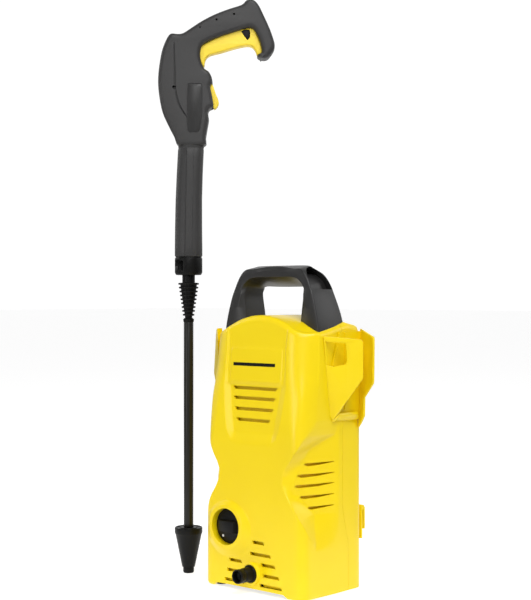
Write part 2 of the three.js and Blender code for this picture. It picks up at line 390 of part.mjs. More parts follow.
put('nozzle_cone', place(turned([[7.4, 66.2], [7.4, 50], [13, 42], [7.6, 14], [7.6, 8.9], [9, 8.9], [19.4, 57], [20, 59], [20, 65], [19, 66.2], [7.4, 66.2]], [0, 0], 28)), 'black');
put('jet_rotor', place(turned([[0, 18], [5, 18], [6.2, 40], [3, 46], [0, 46]], [0, 0], 14)), 'brass');
put('nozzle_tip', place(turned([[2, 0], [6.6, 0], [8, 1.6], [8, 8.6], [7.2, 8.6], [7.2, 13.4], [2, 13.4], [2, 0]], [0, 0], 20)), 'black');

export default group;
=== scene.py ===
import json
import math
import bpy
import bmesh
import numpy as np
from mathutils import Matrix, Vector


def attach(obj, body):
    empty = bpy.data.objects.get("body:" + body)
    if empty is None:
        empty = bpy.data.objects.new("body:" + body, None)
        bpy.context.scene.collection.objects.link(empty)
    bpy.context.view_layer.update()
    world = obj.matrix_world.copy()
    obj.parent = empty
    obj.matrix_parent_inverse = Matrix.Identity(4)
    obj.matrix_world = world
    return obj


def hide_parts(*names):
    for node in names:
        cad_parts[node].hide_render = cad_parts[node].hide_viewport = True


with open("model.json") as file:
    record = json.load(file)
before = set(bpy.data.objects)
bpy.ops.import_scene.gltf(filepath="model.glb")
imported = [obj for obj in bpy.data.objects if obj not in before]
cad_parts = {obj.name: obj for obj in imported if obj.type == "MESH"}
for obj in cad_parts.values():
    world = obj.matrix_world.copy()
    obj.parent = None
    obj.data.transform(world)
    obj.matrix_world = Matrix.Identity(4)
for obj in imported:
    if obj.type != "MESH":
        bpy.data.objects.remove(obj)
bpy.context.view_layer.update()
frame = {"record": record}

# ------------------------------------------------------------------ set-up
# Shapes are worked out in millimetres about the centre of the casing's
# footprint (x right, y back, z up) and moved into the row's frame by OFF.
OFF = np.array([34.34, 9.0, 0.0])
C42, S42 = math.cos(math.radians(42)), math.sin(math.radians(42))
GUN = np.array([-155.0, -29.0, 0.0])

scene = bpy.context.scene
cam_data = bpy.data.cameras.new("camera")
cam = bpy.data.objects.new("camera", cam_data)
scene.collection.objects.link(cam)
cam.location = (1.20724, -1.3541, 0.400)
cam.rotation_euler = (math.radians(90), 0, math.radians(41.5))
cam_data.lens = 77.94
cam_data.sensor_width = 36
cam_data.shift_y = -0.0067
cam_data.shift_x = 0.0008
cam_data.clip_start = 0.01
scene.camera = cam


# --------------------------------------------------------------- materials
def plastic(name, base, dark, rough=0.42, grain=900.0, bump=0.06, spec=0.5, sss=0.0):
    m = bpy.data.materials.new(name)
    m.use_nodes = True
    nt = m.node_tree
    b = nt.nodes["Principled BSDF"]
    tc = nt.nodes.new("ShaderNodeTexCoord")
    big = nt.nodes.new("ShaderNodeTexNoise")
    big.inputs["Scale"].default_value = 9.0
    big.inputs["Detail"].default_value = 3.0
    nt.links.new(tc.outputs["Object"], big.inputs["Vector"])
    ramp = nt.nodes.new("ShaderNodeValToRGB")
    ramp.color_ramp.elements[0].position = 0.3
    ramp.color_ramp.elements[0].color = (*dark, 1)
    ramp.color_ramp.elements[1].position = 0.7
    ramp.color_ramp.elements[1].color = (*base, 1)
    nt.links.new(big.outputs["Fac"], ramp.inputs["Fac"])
    nt.links.new(ramp.outputs["Color"], b.inputs["Base Color"])
    fine = nt.nodes.new("ShaderNodeTexNoise")
    fine.inputs["Scale"].default_value = grain
    fine.inputs["Detail"].default_value = 2.0
    nt.links.new(tc.outputs["Object"], fine.inputs["Vector"])
    mr = nt.nodes.new("ShaderNodeMapRange")
    mr.inputs["To Min"].default_value = rough - 0.05
    mr.inputs["To Max"].default_value = rough + 0.07
    nt.links.new(fine.outputs["Fac"], mr.inputs["Value"])
    nt.links.new(mr.outputs["Result"], b.inputs["Roughness"])
    bp = nt.nodes.new("ShaderNodeBump")
    bp.inputs["Strength"].default_value = bump
    bp.inputs["Distance"].default_value = 0.0002
    nt.links.new(fine.outputs["Fac"], bp.inputs["Height"])
    nt.links.new(bp.outputs["Normal"], b.inputs["Normal"])
    b.inputs["Specular IOR Level"].default_value = spec
    if sss:
        b.inputs["Subsurface Weight"].default_value = sss
        b.inputs["Subsurface Radius"].default_value = (0.004, 0.003, 0.001)
        b.inputs["Subsurface Scale"].default_value = 0.6
    return m


def metal(name, base, rough, scratch=240.0, stretch=(1, 1, 12), metallic=1.0):
    m = bpy.data.materials.new(name)
    m.use_nodes = True
    nt = m.node_tree
    b = nt.nodes["Principled BSDF"]
    b.inputs["Metallic"].default_value = metallic
    tc = nt.nodes.new("ShaderNodeTexCoord")
    mp = nt.nodes.new("ShaderNodeMapping")
    mp.inputs["Scale"].default_value = stretch
    nt.links.new(tc.outputs["Object"], mp.inputs["Vector"])
    n = nt.nodes.new("ShaderNodeTexNoise")
    n.inputs["Scale"].default_value = scratch
    n.inputs["Detail"].default_value = 4.0
    nt.links.new(mp.outputs["Vector"], n.inputs["Vector"])
    mr = nt.nodes.new("ShaderNodeMapRange")
    mr.inputs["To Min"].default_value = rough - 0.08
    mr.inputs["To Max"].default_value = rough + 0.1
    nt.links.new(n.outputs["Fac"], mr.inputs["Value"])
    nt.links.new(mr.outputs["Result"], b.inputs["Roughness"])
    ramp = nt.nodes.new("ShaderNodeValToRGB")
    ramp.color_ramp.elements[0].color = (*[c * 0.8 for c in base], 1)
    ramp.color_ramp.elements[1].color = (*base, 1)
    nt.links.new(n.outputs["Fac"], ramp.inputs["Fac"])
    nt.links.new(ramp.outputs["Color"], b.inputs["Base Color"])
    bp = nt.nodes.new("ShaderNodeBump")
    bp.inputs["Strength"].default_value = 0.08
    bp.inputs["Distance"].default_value = 0.0002
    nt.links.new(n.outputs["Fac"], bp.inputs["Height"])
    nt.links.new(bp.outputs["Normal"], b.inputs["Normal"])
    return m


YELLOW = plastic("yellow_plastic", (0.90, 0.675, 0.003), (0.868, 0.64, 0.0022), rough=0.31, bump=0.05, spec=0.36, sss=0.04)
YELLOW2 = plastic("yellow_trigger_plastic", (0.92, 0.69, 0.04), (0.89, 0.655, 0.03), rough=0.45, bump=0.05, sss=0.05)
BLACK = plastic("black_plastic", (0.0045, 0.0045, 0.0042), (0.0033, 0.0033, 0.0031), rough=0.42, grain=700.0, bump=0.08, spec=0.16)
BLACK2 = plastic("black_grip_plastic", (0.016, 0.0156, 0.0155), (0.0125, 0.012, 0.012), rough=0.40, grain=600.0, bump=0.12, spec=0.5)
TUBE = plastic("black_tube_plastic", (0.008, 0.0074, 0.0058), (0.0065, 0.006, 0.0046), rough=0.34, bump=0.05, spec=0.34)
GUNBODY = plastic("black_gun_plastic", (0.038, 0.037, 0.037), (0.029, 0.0285, 0.0285), rough=0.46, grain=600.0, bump=0.12, spec=0.34)
RUBBER = plastic("rubber", (0.018, 0.018, 0.018), (0.013, 0.013, 0.013), rough=0.75, bump=0.2)
WHITE = plastic("white_print", (0.8, 0.8, 0.78), (0.75, 0.75, 0.73), rough=0.5)
STEEL = metal("zinc_steel", (0.62, 0.62, 0.64), 0.34)
ALU = metal("cast_aluminium", (0.66, 0.66, 0.67), 0.5, scratch=500, stretch=(1, 1, 1))
BRASS = metal("brass", (0.72, 0.52, 0.22), 0.32)
IRON = metal("varnished_stator", (0.30, 0.13, 0.06), 0.5, scratch=60, stretch=(1, 1, 30), metallic=0.6)

SLOT_OF = {"yellow_plastic": YELLOW, "black_plastic": BLACK, "rubber": RUBBER, "steel": STEEL,
           "aluminium": ALU, "brass": BRASS, "stator_iron": IRON}


# ----------------------------------------------------------------- helpers
def build(verts, faces, name="tmp"):
    me = bpy.data.meshes.new(name)
    me.from_pydata([tuple(v) for v in verts], [], [tuple(f) for f in faces])
    me.update()
    return me


def obj_from(me, name):
    o = bpy.data.objects.new(name, me)
    scene.collection.objects.link(o)
    return o


def applied(o):
    dg = bpy.context.evaluated_depsgraph_get()
    dg.update()
    me = bpy.data.meshes.new_from_object(o.evaluated_get(dg))
    o.modifiers.clear()
    o.data = me
    return o


def drop(o):
    me = o.data
    bpy.data.objects.remove(o)
    if me and me.users == 0:
        bpy.data.meshes.remove(me)


def cut(o, cutter, op="DIFFERENCE", solver="MANIFOLD", keep=False, self_x=False):
    m = o.modifiers.new("b", "BOOLEAN")
    m.operation = op
    m.solver = solver
    m.object = cutter
    if solver == "EXACT":
        m.use_self = self_x
    applied(o)
    if not keep:
        drop(cutter)
    return o


def outward(me):
    bm = bmesh.new()
    bm.from_mesh(me)
    bmesh.ops.recalc_face_normals(bm, faces=bm.faces)
    if bm.calc_volume(signed=True) < 0:
        bmesh.ops.reverse_faces(bm, faces=bm.faces)
    bm.to_mesh(me)
    bm.free()
    return me


def loft(rings, closed=False, cap=True):
    """Skin through rings (lists of xyz, mm); ends capped unless closed on itself."""
    n = len(rings[0])
    v = [p for r in rings for p in r]
    f = []
    m = len(rings)
    for i in range(m if closed else m - 1):
        for j in range(n):
            a, b = i * n + j, i * n + (j + 1) % n
            c, d = ((i + 1) % m) * n + (j + 1) % n, ((i + 1) % m) * n + j
            f.append((a, b, c, d))
    if cap and not closed:
        f.append(tuple(range(n))[::-1])
        f.append(tuple((m - 1) * n + j for j in range(n)))
    return outward(build(v, f))


def prism(axis, pts, a, b):
    at = {"x": lambda p, w: (w, p[0], p[1]), "y": lambda p, w: (p[0], w, p[1]), "z": lambda p, w: (p[0], p[1], w)}[axis]
    return loft([[at(p, a) for p in pts], [at(p, b) for p in pts]])


def lathe(profile, axis="z", centre=(0, 0), n=48, closed=False):
    """profile: (radius, position along axis); r=0 only at the ends."""
    rings = []
    for r, w in profile:
        ring = []
        for k in range(n):
            t = 2 * math.pi * k / n
            u, v = r * math.cos(t), r * math.sin(t)
            if axis == "z":
                ring.append((centre[0] + u, centre[1] + v, w))
            elif axis == "y":
                ring.append((centre[0] + u, w, centre[1] + v))
            else:
                ring.append((w, centre[0] + u, centre[1] + v))
        rings.append(ring)
    return loft(rings, closed=closed)


def rod(axis, c, a, b, r1, r2=None, n=40):
    return lathe([(r1, a), (r1 if r2 is None else r2, b)], axis, c, n)


def joined(meshes):
    """One mesh holding several, no boolean."""
    bm = bmesh.new()
    for me in meshes:
        bm.from_mesh(me)
    out = bpy.data.meshes.new("joined")
    bm.to_mesh(out)
    bm.free()
    for me in meshes:
        if me.users == 0:
            bpy.data.meshes.remove(me)
    return out


def catmull(pts, sub, closed=True):
    p = np.array(pts, float)
    n = len(p)
    out = []
    rng = range(n) if closed else range(n - 1)
    for i in rng:
        if closed:
            a, b, c, d = p[i - 1], p[i], p[(i + 1) % n], p[(i + 2) % n]
        else:
            a, b, c, d = p[max(i - 1, 0)], p[i], p[i + 1], p[min(i + 2, n - 1)]
        s = sub[i] if isinstance(sub, (list, tuple)) else sub
        for k in range(s):
            t = k / s
            out.append(0.5 * ((2 * b) + (c - a) * t + (2 * a - 5 * b + 4 * c - d) * t * t + (3 * b - a - 3 * c + d) * t ** 3))
    if not closed:
        out.append(p[-1])
    return np.array(out)


def bevelled(o, width, seg=2, angle=30.0):
    m = o.modifiers.new("bv", "BEVEL")
    m.width = width
    m.segments = seg
    m.limit_method = "ANGLE"
    m.angle_limit = math.radians(angle)
    m.use_clamp_overlap = True
    m.harden_normals = False
    return applied(o)


TO_M = 0.001
done = []


def finish_piece(o, name, body, mat, rep=(), smooth=32.0, gun=False, off=True):
    """mm about the casing (or the gun's own plane) -> metres in the row's frame."""
    me = o.data
    co = np.empty(len(me.vertices) * 3)
    me.vertices.foreach_get("co", co)
    co = co.reshape(-1, 3)
    if gun:
        x, y, z = co[:, 0].copy(), co[:, 1].copy(), co[:, 2].copy()
        co[:, 0] = GUN[0] + x * C42 - y * S42
        co[:, 1] = GUN[1] + x * S42 + y * C42
        co[:, 2] = z
    co = (co + OFF) * TO_M
    me.vertices.foreach_set("co", co.reshape(-1))
    me.update()
    me.polygons.foreach_set("use_smooth", [True] * len(me.polygons))
    me.set_sharp_from_angle(angle=math.radians(smooth))
    me.materials.clear()
    me.materials.append(mat)
    o.name = name
    me.name = name
    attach(o, body)
    if rep:
        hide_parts(*rep)
    done.append(o)
    return o


def sstep(t):
    t = np.clip(t, 0, 1)
    return t * t * (3 - 2 * t)


def smin(a, b, k):
    h = np.maximum(k - np.abs(a - b), 0) / k
    return np.minimum(a, b) - h * h * k / 4


def smax0(a, k):
    h = np.maximum(k - np.abs(a), 0) / k
    return np.maximum(a, 0) + h * h * k / 4


# ------------------------------------------------------------------ casing
KEYS = {
    1.2: [(40, -63.6), (66, -63.6), (74.5, -63.6), (80, -62.5), (84.6, -59.3), (87.6, -54.8), (88.6, -49.5), (88.6, -36)],
    4.0: [(40, -65), (66, -65), (75, -65), (80.7, -63.9), (85.6, -60.6), (88.9, -55.7), (90, -50), (90, -36)],
    110: [(40, -65), (66, -65), (75, -65), (80.7, -63.9), (85.6, -60.6), (88.9, -55.7), (90, -50), (90, -36)],
    180: [(40, -65), (64, -65), (72, -65), (78, -63.6), (83.4, -59.5), (87, -52), (89.3, -43), (90, -34)],
    213: [(40, -64.9), (62, -64.9), (70, -64.9), (77, -63.3), (82.3, -58.9), (86.4, -51), (89.2, -41), (90, -32)],
    240: [(40, -63.2), (57, -63.2), (66, -63.1), (74.5, -61.4), (81.0, -58.0), (85.8, -50.8), (89.0, -39.5), (90, -29)],
    265: [(40, -60.9), (54, -60.9), (64, -60.7), (72.0, -59.0), (79.5, -55.9), (84.6, -49.4), (88.6, -38), (90, -28)],
    300: [(40, -57.9), (52, -57.9), (60, -57.5), (68, -55.4), (76, -51), (82.5, -44), (87.8, -33.5), (90, -26)],
    350: [(40, -54), (50, -54), (58, -53.4), (66, -51), (73.5, -46.6), (80.5, -40), (86.5, -30.5), (88.6, -24)],
    380: [(40, -52), (49, -52), (57, -51.4), (65, -49), (72.5, -44.6), (79.5, -38), (85.5, -28.5), (88, -22)],
}
REAR = [(90, 0), (90, 30), (90, 48), (88.8, 56), (85, 61.5), (78, 65), (60, 65), (30, 65), (0, 65)]


def perimeter(z, fine):
    half = [(0, KEYS[z][0][1])] + KEYS[z]
    lean = 0.0 if z < 300 else (z - 300) * 0.02
    rear = [(x - (lean if x > 80 else 0), y - (lean * 1.2 if y > 40 else 0)) for x, y in REAR]
    pts = half + rear
    sub = ([30, 18, 7, 6, 6, 6, 6, 12] if fine else [8, 4, 2, 2, 2, 2, 2, 3]) + \
          ([16, 20, 6, 3, 3, 3, 4, 5, 5] if fine else [4, 5, 2, 1, 1, 1, 2, 2, 2])
    right = catmull(pts, sub, closed=False)
    left = right[1:-1][::-1].copy()
    left[:, 0] *= -1
    return np.vstack([right, left])


def roof(x, y):
    fall = 0.20 * np.maximum(np.asarray(y) - 31.0, 0.0)
    fall = fall + 0.42 * np.maximum(-28.0 - np.asarray(y), 0.0) * (np.abs(x) / 85.0) ** 2
    return 374.0 - 23.5 * (np.abs(x) / 85.0) ** 2 * (1 - 0.0100 * (np.clip(y, -60, 31) + 26)) - fall


PUSH = np.array([0.75, -0.66])
PUSH = PUSH / np.linalg.norm(PUSH)
# plan line bounding the recess at each height: (z, front end x y, rear end x y)
WAIST = np.array([
    (50, 90.4, -40, 88.5, -31), (63, 90.4, -40, 88.5, -31), (75, 90.0, -43, 86.1, -31.1), (91, 88.6, -56.2, 81.5, -28.3), (99, 86.2, -60.2, 79.5, -26.8),
    (109, 80.9, -64, 77.2, -25.3), (120, 73.4, -65, 73.4, -35.9), (130, 66.2, -65, 70.2, -44.6), (138, 60.8, -65, 67.9, -51), (144, 57.4, -65, 66.5, -54.9),
    (150, 54.6, -65, 66.1, -56), (162, 54.2, -65, 67.1, -53.2), (172, 59.2, -65, 68.7, -48.8), (183, 67.8, -65, 71.4, -41.4), (196, 77.6, -65, 74.4, -33),
    (204, 81.6, -64, 79.8, -18), (214.5, 85.4, -57.5, 88, 3), (222, 87.6, -52.5, 89.2, 5), (232, 89.4, -45, 90.2, 5), (246, 92.5, -32, 93.5, 5)])
FLOOR = (np.array([0.941, -0.339]), 0.941 * 62.9 + 0.339 * 65.0)


def side_recess(P, inset=0.0):
    for s in (1, -1):
        Q = P.copy()
        Q[:, 0] *= s
        z = Q[:, 2]
        row = [np.interp(z, WAIST[:, 0], WAIST[:, k]) for k in range(1, 5)]
        keep = np.zeros(len(z))
        if s < 0:       # fuller beside the dial
            keep = np.interp(z, [95, 125, 150, 175, 205], [0.0, 4.6, 4.8, 3.6, 0.0])
            row[0] = row[0] + keep * 1.25
            row[2] = row[2] + keep
        d = np.stack([row[2] - row[0], row[3] - row[1]], 1)
        n = np.stack([d[:, 1], -d[:, 0]], 1)
        n /= np.linalg.norm(n, axis=1)[:, None]
        line = (n[:, 0] * (Q[:, 0] - row[0]) + n[:, 1] * (Q[:, 1] - row[1]) + inset) / (n @ PUSH)
        # floor of the recess, rising to the side below its bottom edge
        rise = np.clip((z - 63.0) / 46.0, 0, 1)
        floor = (Q[:, :2] @ FLOOR[0] - (FLOOR[1] + 0.94 * keep - inset)) / (FLOOR[0] @ PUSH)
        floor = np.maximum(floor, -6.0) * rise + (rise - 1.0) * 0.5
        shallow = d[:, 0] / d[:, 1] < 0.36 * rise
        t = np.where(shallow, smin(line, floor, 0.9), -smin(-line, -floor, 0.9))
        t = smax0(t, 0.8)
        t = np.where(Q[:, 0] > 30, t, 0)
        t = np.where(Q[:, 1] > 40, 0, t)
        P[:, 0] -= s * PUSH[0] * t
        P[:, 1] -= PUSH[1] * t
    return P


def interp(z, xs, ys):
    return np.interp(z, xs, ys)


def front_relief(P, facing):
    """Displacements of the front: y grows inwards."""
    x, z = P[:, 0], P[:, 2]
    ax = np.abs(x)
    outer = interp(z, [190, 205, 211, 220, 247, 277, 286, 300, 331, 352, 372], [34, 41, 43.8, 48.3, 53.0, 56.6, 56.6, 55, 53.5, 55, 57])
    inner = interp(z, [190, 205, 214, 227, 247, 275, 284, 300, 331, 352, 372], [30, 33.5, 35, 36.6, 40.4, 44.8, 49.0, 51, 50.5, 52.5, 54.5])
    t = np.clip((outer - ax) / np.maximum(outer - inner, 0.5), 0, 1)
    side = np.where(z < 282, t * 0.75 + sstep(t) * 0.25, sstep(t))
    low = sstep((z - 198) / 20)
    depth = interp(z, [190, 215, 278.5, 283, 340, 372], [3.2, 3.6, 3.4, 1.8, 1.5, 1.2])
    d = depth * side * low
    # label plate standing 0.5 mm proud of its field, with rounded corners
    qx, qz = ax - (46.5 - 5), np.abs(z - 306.5) - (23.5 - 5)
    sd = 5 - np.sqrt(np.maximum(qx, 0) ** 2 + np.maximum(qz, 0) ** 2) - np.minimum(np.maximum(qx, qz), 0)
    d = d - 0.55 * sstep(sd / 1.2 + 0.2)
    # cone round the dial
    r = np.hypot(x + 43, z - 85)
    out_r = 42.0 - 6.5 * sstep((z - 90) / 30)
    boss = 6.6 * np.clip((out_r - r) / (out_r - 29.5), 0, 1)
    boss = np.where(boss > 0, smin(boss, 6.4, 1.4), 0)
    boss = boss * sstep((x + 87) / 17)
    d = d - boss
    return P[:, 1] + d * facing


def unfold(xy):
    """Keep the columns of a ring in order round the centre where an inward offset crosses itself."""
    a = np.unwrap(np.arctan2(xy[:, 1], xy[:, 0]))
    r = np.hypot(xy[:, 0], xy[:, 1])
    a = 0.5 * (np.maximum.accumulate(a) + np.minimum.accumulate(a[::-1])[::-1]) + 2e-6 * np.arange(len(a))
    return np.column_stack([r * np.cos(a), r * np.sin(a)])


def casing(fine=True, inset=0.0):
    zs = sorted(KEYS)
    K = np.array([perimeter(z, fine) for z in zs])          # keys, columns, xy
    nc = K.shape[1]
    zk = np.array(zs)
    # tangents for a smooth pass through the key heights
    T = np.zeros_like(K)
    for i in range(1, len(zs) - 1):
        T[i] = (K[i + 1] - K[i - 1]) / (zk[i + 1] - zk[i - 1])
    T[0] = T[1] * 0
    T[1] = T[1] * 0
    T[2] = T[2] * 0

    def at(col, z):
        i = np.clip(np.searchsorted(zk, z, side="right") - 1, 0, len(zk) - 2)
        h = zk[i + 1] - zk[i]
        t = ((z - zk[i]) / h)[:, None]
        a, b = K[i, col], K[i + 1, col]
        ta, tb = T[i, col] * h[:, None], T[i + 1, col] * h[:, None]
        return (2 * t ** 3 - 3 * t ** 2 + 1) * a + (t ** 3 - 2 * t ** 2 + t) * ta + (-2 * t ** 3 + 3 * t ** 2) * b + (t ** 3 - t ** 2) * tb

    cols = np.arange(nc)
    R = 11.0
    base = at(cols, np.full(nc, 352.0))
    tang = np.roll(base, -1, 0) - np.roll(base, 1, 0)
    nrm = np.stack([tang[:, 1], -tang[:, 0]], 1)
    nrm /= np.linalg.norm(nrm, axis=1)[:, None]
    inn = base - nrm * R
    ztop = roof(inn[:, 0], inn[:, 1]) - R * 0.93
    rows = []
    step = 1.6 if fine else 8.0
    lows = np.concatenate([[1.2, 2.4, 4.0], np.arange(6, 300, step)])
    for z in lows:
        rows.append(np.column_stack([at(cols, np.full(nc, z)), np.full(nc, z)]))
    nu = 30 if fine else 6
    for k in range(nu + 1):
        zz = 300 + (ztop - 300) * k / nu
        rows.append(np.column_stack([at(cols, zz), zz]))
    top = rows[-1]
    tang = np.roll(top[:, :2], -1, 0) - np.roll(top[:, :2], 1, 0)
    nrm = np.stack([tang[:, 1], -tang[:, 0]], 1)
    nrm /= np.linalg.norm(nrm, axis=1)[:, None]
    nf = 9 if fine else 3
    for k in range(1, nf + 1):
        a = math.pi / 2 * k / nf
        xy = unfold(top[:, :2] - nrm * R * (1 - math.cos(a)))
        end = roof(xy[:, 0], xy[:, 1])
        zz = ztop + R * 0.93 * math.sin(a)
        w = math.sin(a) ** 4
        rows.append(np.column_stack([xy, zz * (1 - w) + end * w]))
    last = rows[-1]
    ns = 12 if fine else 4
    for k in range(1, ns):
        s = 1 - k / ns
        xy = last[:, :2] * s
        rows.append(np.column_stack([xy, roof(xy[:, 0], xy[:, 1])]))
    P = np.vstack(rows)
    nr = len(rows)
    facing = np.tile(np.clip((-nrm[:, 1] - 0.35) / 0.5, 0, 1), nr)
    wall = np.zeros(len(P))
    wall[: (len(lows) + nu + 1) * nc] = 1
    # fade the front relief into the top fillet
    for k in range(nf):
        wall[(len(lows) + nu + 1 + k) * nc:(len(lows) + nu + 2 + k) * nc] = max(0, 1 - (k + 1) / nf * 1.2)
    P = side_recess(P, inset)
    if fine:
        P[:, 1] = front_relief(P, facing * wall)
    elif inset:
        P[:, 1] += 3.9 * facing * wall * sstep((62 - np.abs(P[:, 0])) / 5) * sstep((P[:, 2] - 180) / 12)
    faces = []
    for i in range(nr - 1):
        for j in range(nc):
            k = (j + 1) % nc
            faces.append((i * nc + j, i * nc + k, (i + 1) * nc + k, (i + 1) * nc + j))
    c = len(P)
    P = np.vstack([P, [[0, 0, roof(np.array(0.0), np.array(0.0))]]])
    for j in range(nc):
        faces.append(((nr - 1) * nc + j, (nr - 1) * nc + (j + 1) % nc, c))
    faces.append(tuple(range(nc))[::-1])
    me = outward(build(P, faces))
    if inset:
        co = np.empty(len(me.vertices) * 3)
        me.vertices.foreach_get("co", co)
        no = np.array([tuple(v.normal) for v in me.vertices])
        co = co.reshape(-1, 3) - no * inset
        me.vertices.foreach_set("co", co.reshape(-1))
        me.update()
    return me


skin = obj_from(casing(True), "skin")
hollow = obj_from(casing(False, 3.2), "hollow")
# the hollow runs out through the bottom
hollow2 = obj_from(prism("z", [(-84, -59), (84, -59), (84, 59), (-84, 59)], -5, 30), "hollow2")
cut(hollow, hollow2, "UNION")
cut(skin, hollow)

SLOT_H = 2.25
cutters = []
for z, w, y in [(275, 39.4, -62), (261.4, 37.2, -63), (246.8, 34.4, -64), (232.2, 30.2, -65)]:
    w0 = -w - 2.2
    cutters.append(prism("y", [(w0, z + SLOT_H), (w0 + 0.8, z + 0.6), (w0 + 3.4, z - SLOT_H), (w - 3.4, z - SLOT_H), (w - 0.8, z + 0.6), (w - 0.4, z + SLOT_H)], -75, -48))
for z, a, b in [(68.8, 1.3, 22.9), (53, -3, 34.8), (40, 16.5, 42.7), (26, 20, 49.7), (12.4, 14, 54.4),
                (40, -41, -17), (26, -45, -19), (12.4, -49.5, -13)]:
    cutters.append(prism("y", [(a, z + SLOT_H), (a + 1.0, z - SLOT_H), (b, z - SLOT_H), (b - 2.0, z + SLOT_H)], -80, -50))
for s in (1, -1):
    for z, y in [(176, -41.0), (161.5, -51.0), (147.8, -54.5), (133, -47), (118, -36)]:
        pts = [(y, z + 0.4), (y + 2.6, z + 2.3), (-16, z + 2.2), (4, z + 2.6), (3, z + 1.6), (-18, z - 1.3), (y + 6, z - 2.2)]
        cutters.append(prism("x", pts, min(s * 52, s * 96), max(s * 52, s * 96)))
cutters.append(rod("y", (-43, 85), -90, -50, 25.1, n=64))
cutters.append(rod("y", (1, 26.5), -90, -50, 12.0, n=48))
cutters.append(rod("y", (30, 42), 50, 90, 11.0, n=40))
cutters.append(rod("y", (-50, 36), 50, 90, 6.4, n=32))
for x, z in [(-72, 30), (72, 30), (-72, 310), (72, 310)]:
    cutters.append(rod("y", (x, z), 50, 90, 4.5, n=24))
# arch under the front edge
arch = catmull([(-72, 0), (-66, 4.6), (-58, 5.6), (0, 5.8), (50, 5.6), (58, 4.6), (63, 0)], 4, closed=False)
cutters.append(prism("y", [tuple(p) for p in arch] + [(63, -6), (-72, -6)], -90, -40))
c_all = obj_from(joined(cutters), "cutters")
cut(skin, c_all, self_x=False)

# parting line of the two halves
seam_pts = [(-140, -20), (-140, 420), (18, 420), (18, 118), (20, 108), (28, 76), (31, 66), (31, -20)]
rear_pts = [(140, -20), (140, 420), (18.45, 420), (18.45, 118), (20.45, 108), (28.45, 76), (31.45, 66), (31.45, -20)]
front = obj_from(skin.data.copy(), "front")
rear = skin
cut(front, obj_from(prism("x", seam_pts, -150, 150), "s1"), "INTERSECT")
cut(rear, obj_from(prism("x", rear_pts, -150, 150), "s2"), "INTERSECT")
finish_piece(front, "front_shell_skin", "washer", YELLOW, ("front_shell",), smooth=38)
finish_piece(rear, "rear_shell_skin", "washer", YELLOW, ("rear_shell",), smooth=38)

# baffles standing behind the slots
def shelf_plate(pts_a, pts_b, nm):
    finish_piece(obj_from(loft([pts_a, pts_b]), nm), nm, "washer", YELLOW, ())


shelf_plate([(-44, -54.5, 222), (42, -54.5, 222), (42, -49.0, 284), (-44, -49.0, 284)],
            [(-44, -53.0, 222), (42, -53.0, 222), (42, -47.5, 284), (-44, -47.5, 284)], "front_baffle_upper")
shelf_plate([(15, -57.5, 7), (58, -57.5, 7), (58, -57.5, 74), (15, -57.5, 74)], [(15, -56, 7), (58, -56, 7), (58, -56, 74), (15, -56, 74)], "front_baffle_right")
shelf_plate([(-54, -57.5, 7), (-12, -57.5, 7), (-12, -57.5, 45), (-54, -57.5, 45)], [(-54, -56, 7), (-12, -56, 7), (-12, -56, 45), (-54, -56, 45)], "front_baffle_left")
shelf_plate([(-4, -57.5, 47), (15, -57.5, 47), (15, -57.5, 74), (-4, -57.5, 74)], [(-4, -56, 47), (15, -56, 47), (15, -56, 74), (-4, -56, 74)], "front_baffle_mid")
for s, nm in ((1, "side_baffle_right"), (-1, "side_baffle_left")):
    shelf_plate([(s * 60.5, -54, 110), (s * 79.5, 5, 110), (s * 79.5, 5, 184), (s * 60.5, -54, 184)],
                [(s * 59, -54, 110), (s * 78, 5, 110), (s * 78, 5, 184), (s * 59, -54, 184)], nm)

# well of the dial and ring of the outlet, moulded with the front half
well = obj_from(lathe([(25.0, -70.6), (24.9, -60.5), (9.0, -60.2), (9.0, -58.6), (27.2, -58.6), (27.2, -68.5), (26.6, -70.4), (25.6, -71.2)], "y", (-43, 85), 72, closed=True), "w")
finish_piece(well, "dial_well", "washer", YELLOW, ())
ring = obj_from(lathe([(11.8, -60), (11.8, -68.6), (12.4, -69.6), (13.6, -69.6), (14.6, -68.8), (15.6, -65), (16.4, -63.6), (16.4, -60)], "y", (1, 26.5), 56, closed=True), "r")
finish_piece(ring, "outlet_ring", "washer", YELLOW, ())

# plain bar printed on the label field
bar = obj_from(loft([[(-41, -56.55, 305.0), (34.5, -56.55, 305.0), (34.5, -56.25, 309.4), (-41, -56.25, 309.4)],
                     [(-41, -54.0, 305.0), (34.5, -54.0, 305.0), (34.5, -54.0, 309.4), (-41, -54.0, 309.4)]]), "bar")


# ------------------------------------------------------------------ handle
def leg_ring(z, xo, yf, yr, xi, yfi, yri, xb, crown=0.0):
    return [(xo, yf + 1.0, z), (xo + 0.6, (yf + yr) * 0.5 + 5, z), (xo - 1.0, yr, z),
            (xi + 9, yr, z), (xi, yri, z), (xi, yfi, z), (xb, yf, z), (xo - 1.2, yf, z)]


stations = []
for z, xo, yf, yr, xi, xb in [(342.0, 86.0, -26, 31.4, 47.6, 69.0), (356, 84.4, -26, 30.8, 48.6, 67.6), (370, 81.6, -25.8, 29.6, 49.8, 65.4),
                              (385, 77.8, -25.4, 27.6, 51.4, 62.0), (400, 73.2, -24.8, 25, 53.0, 57.0)]:
    stations.append(leg_ring(z, xo, yf, yr, xi, yf + 5, 22 - (z - 347) * 0.06, xb))
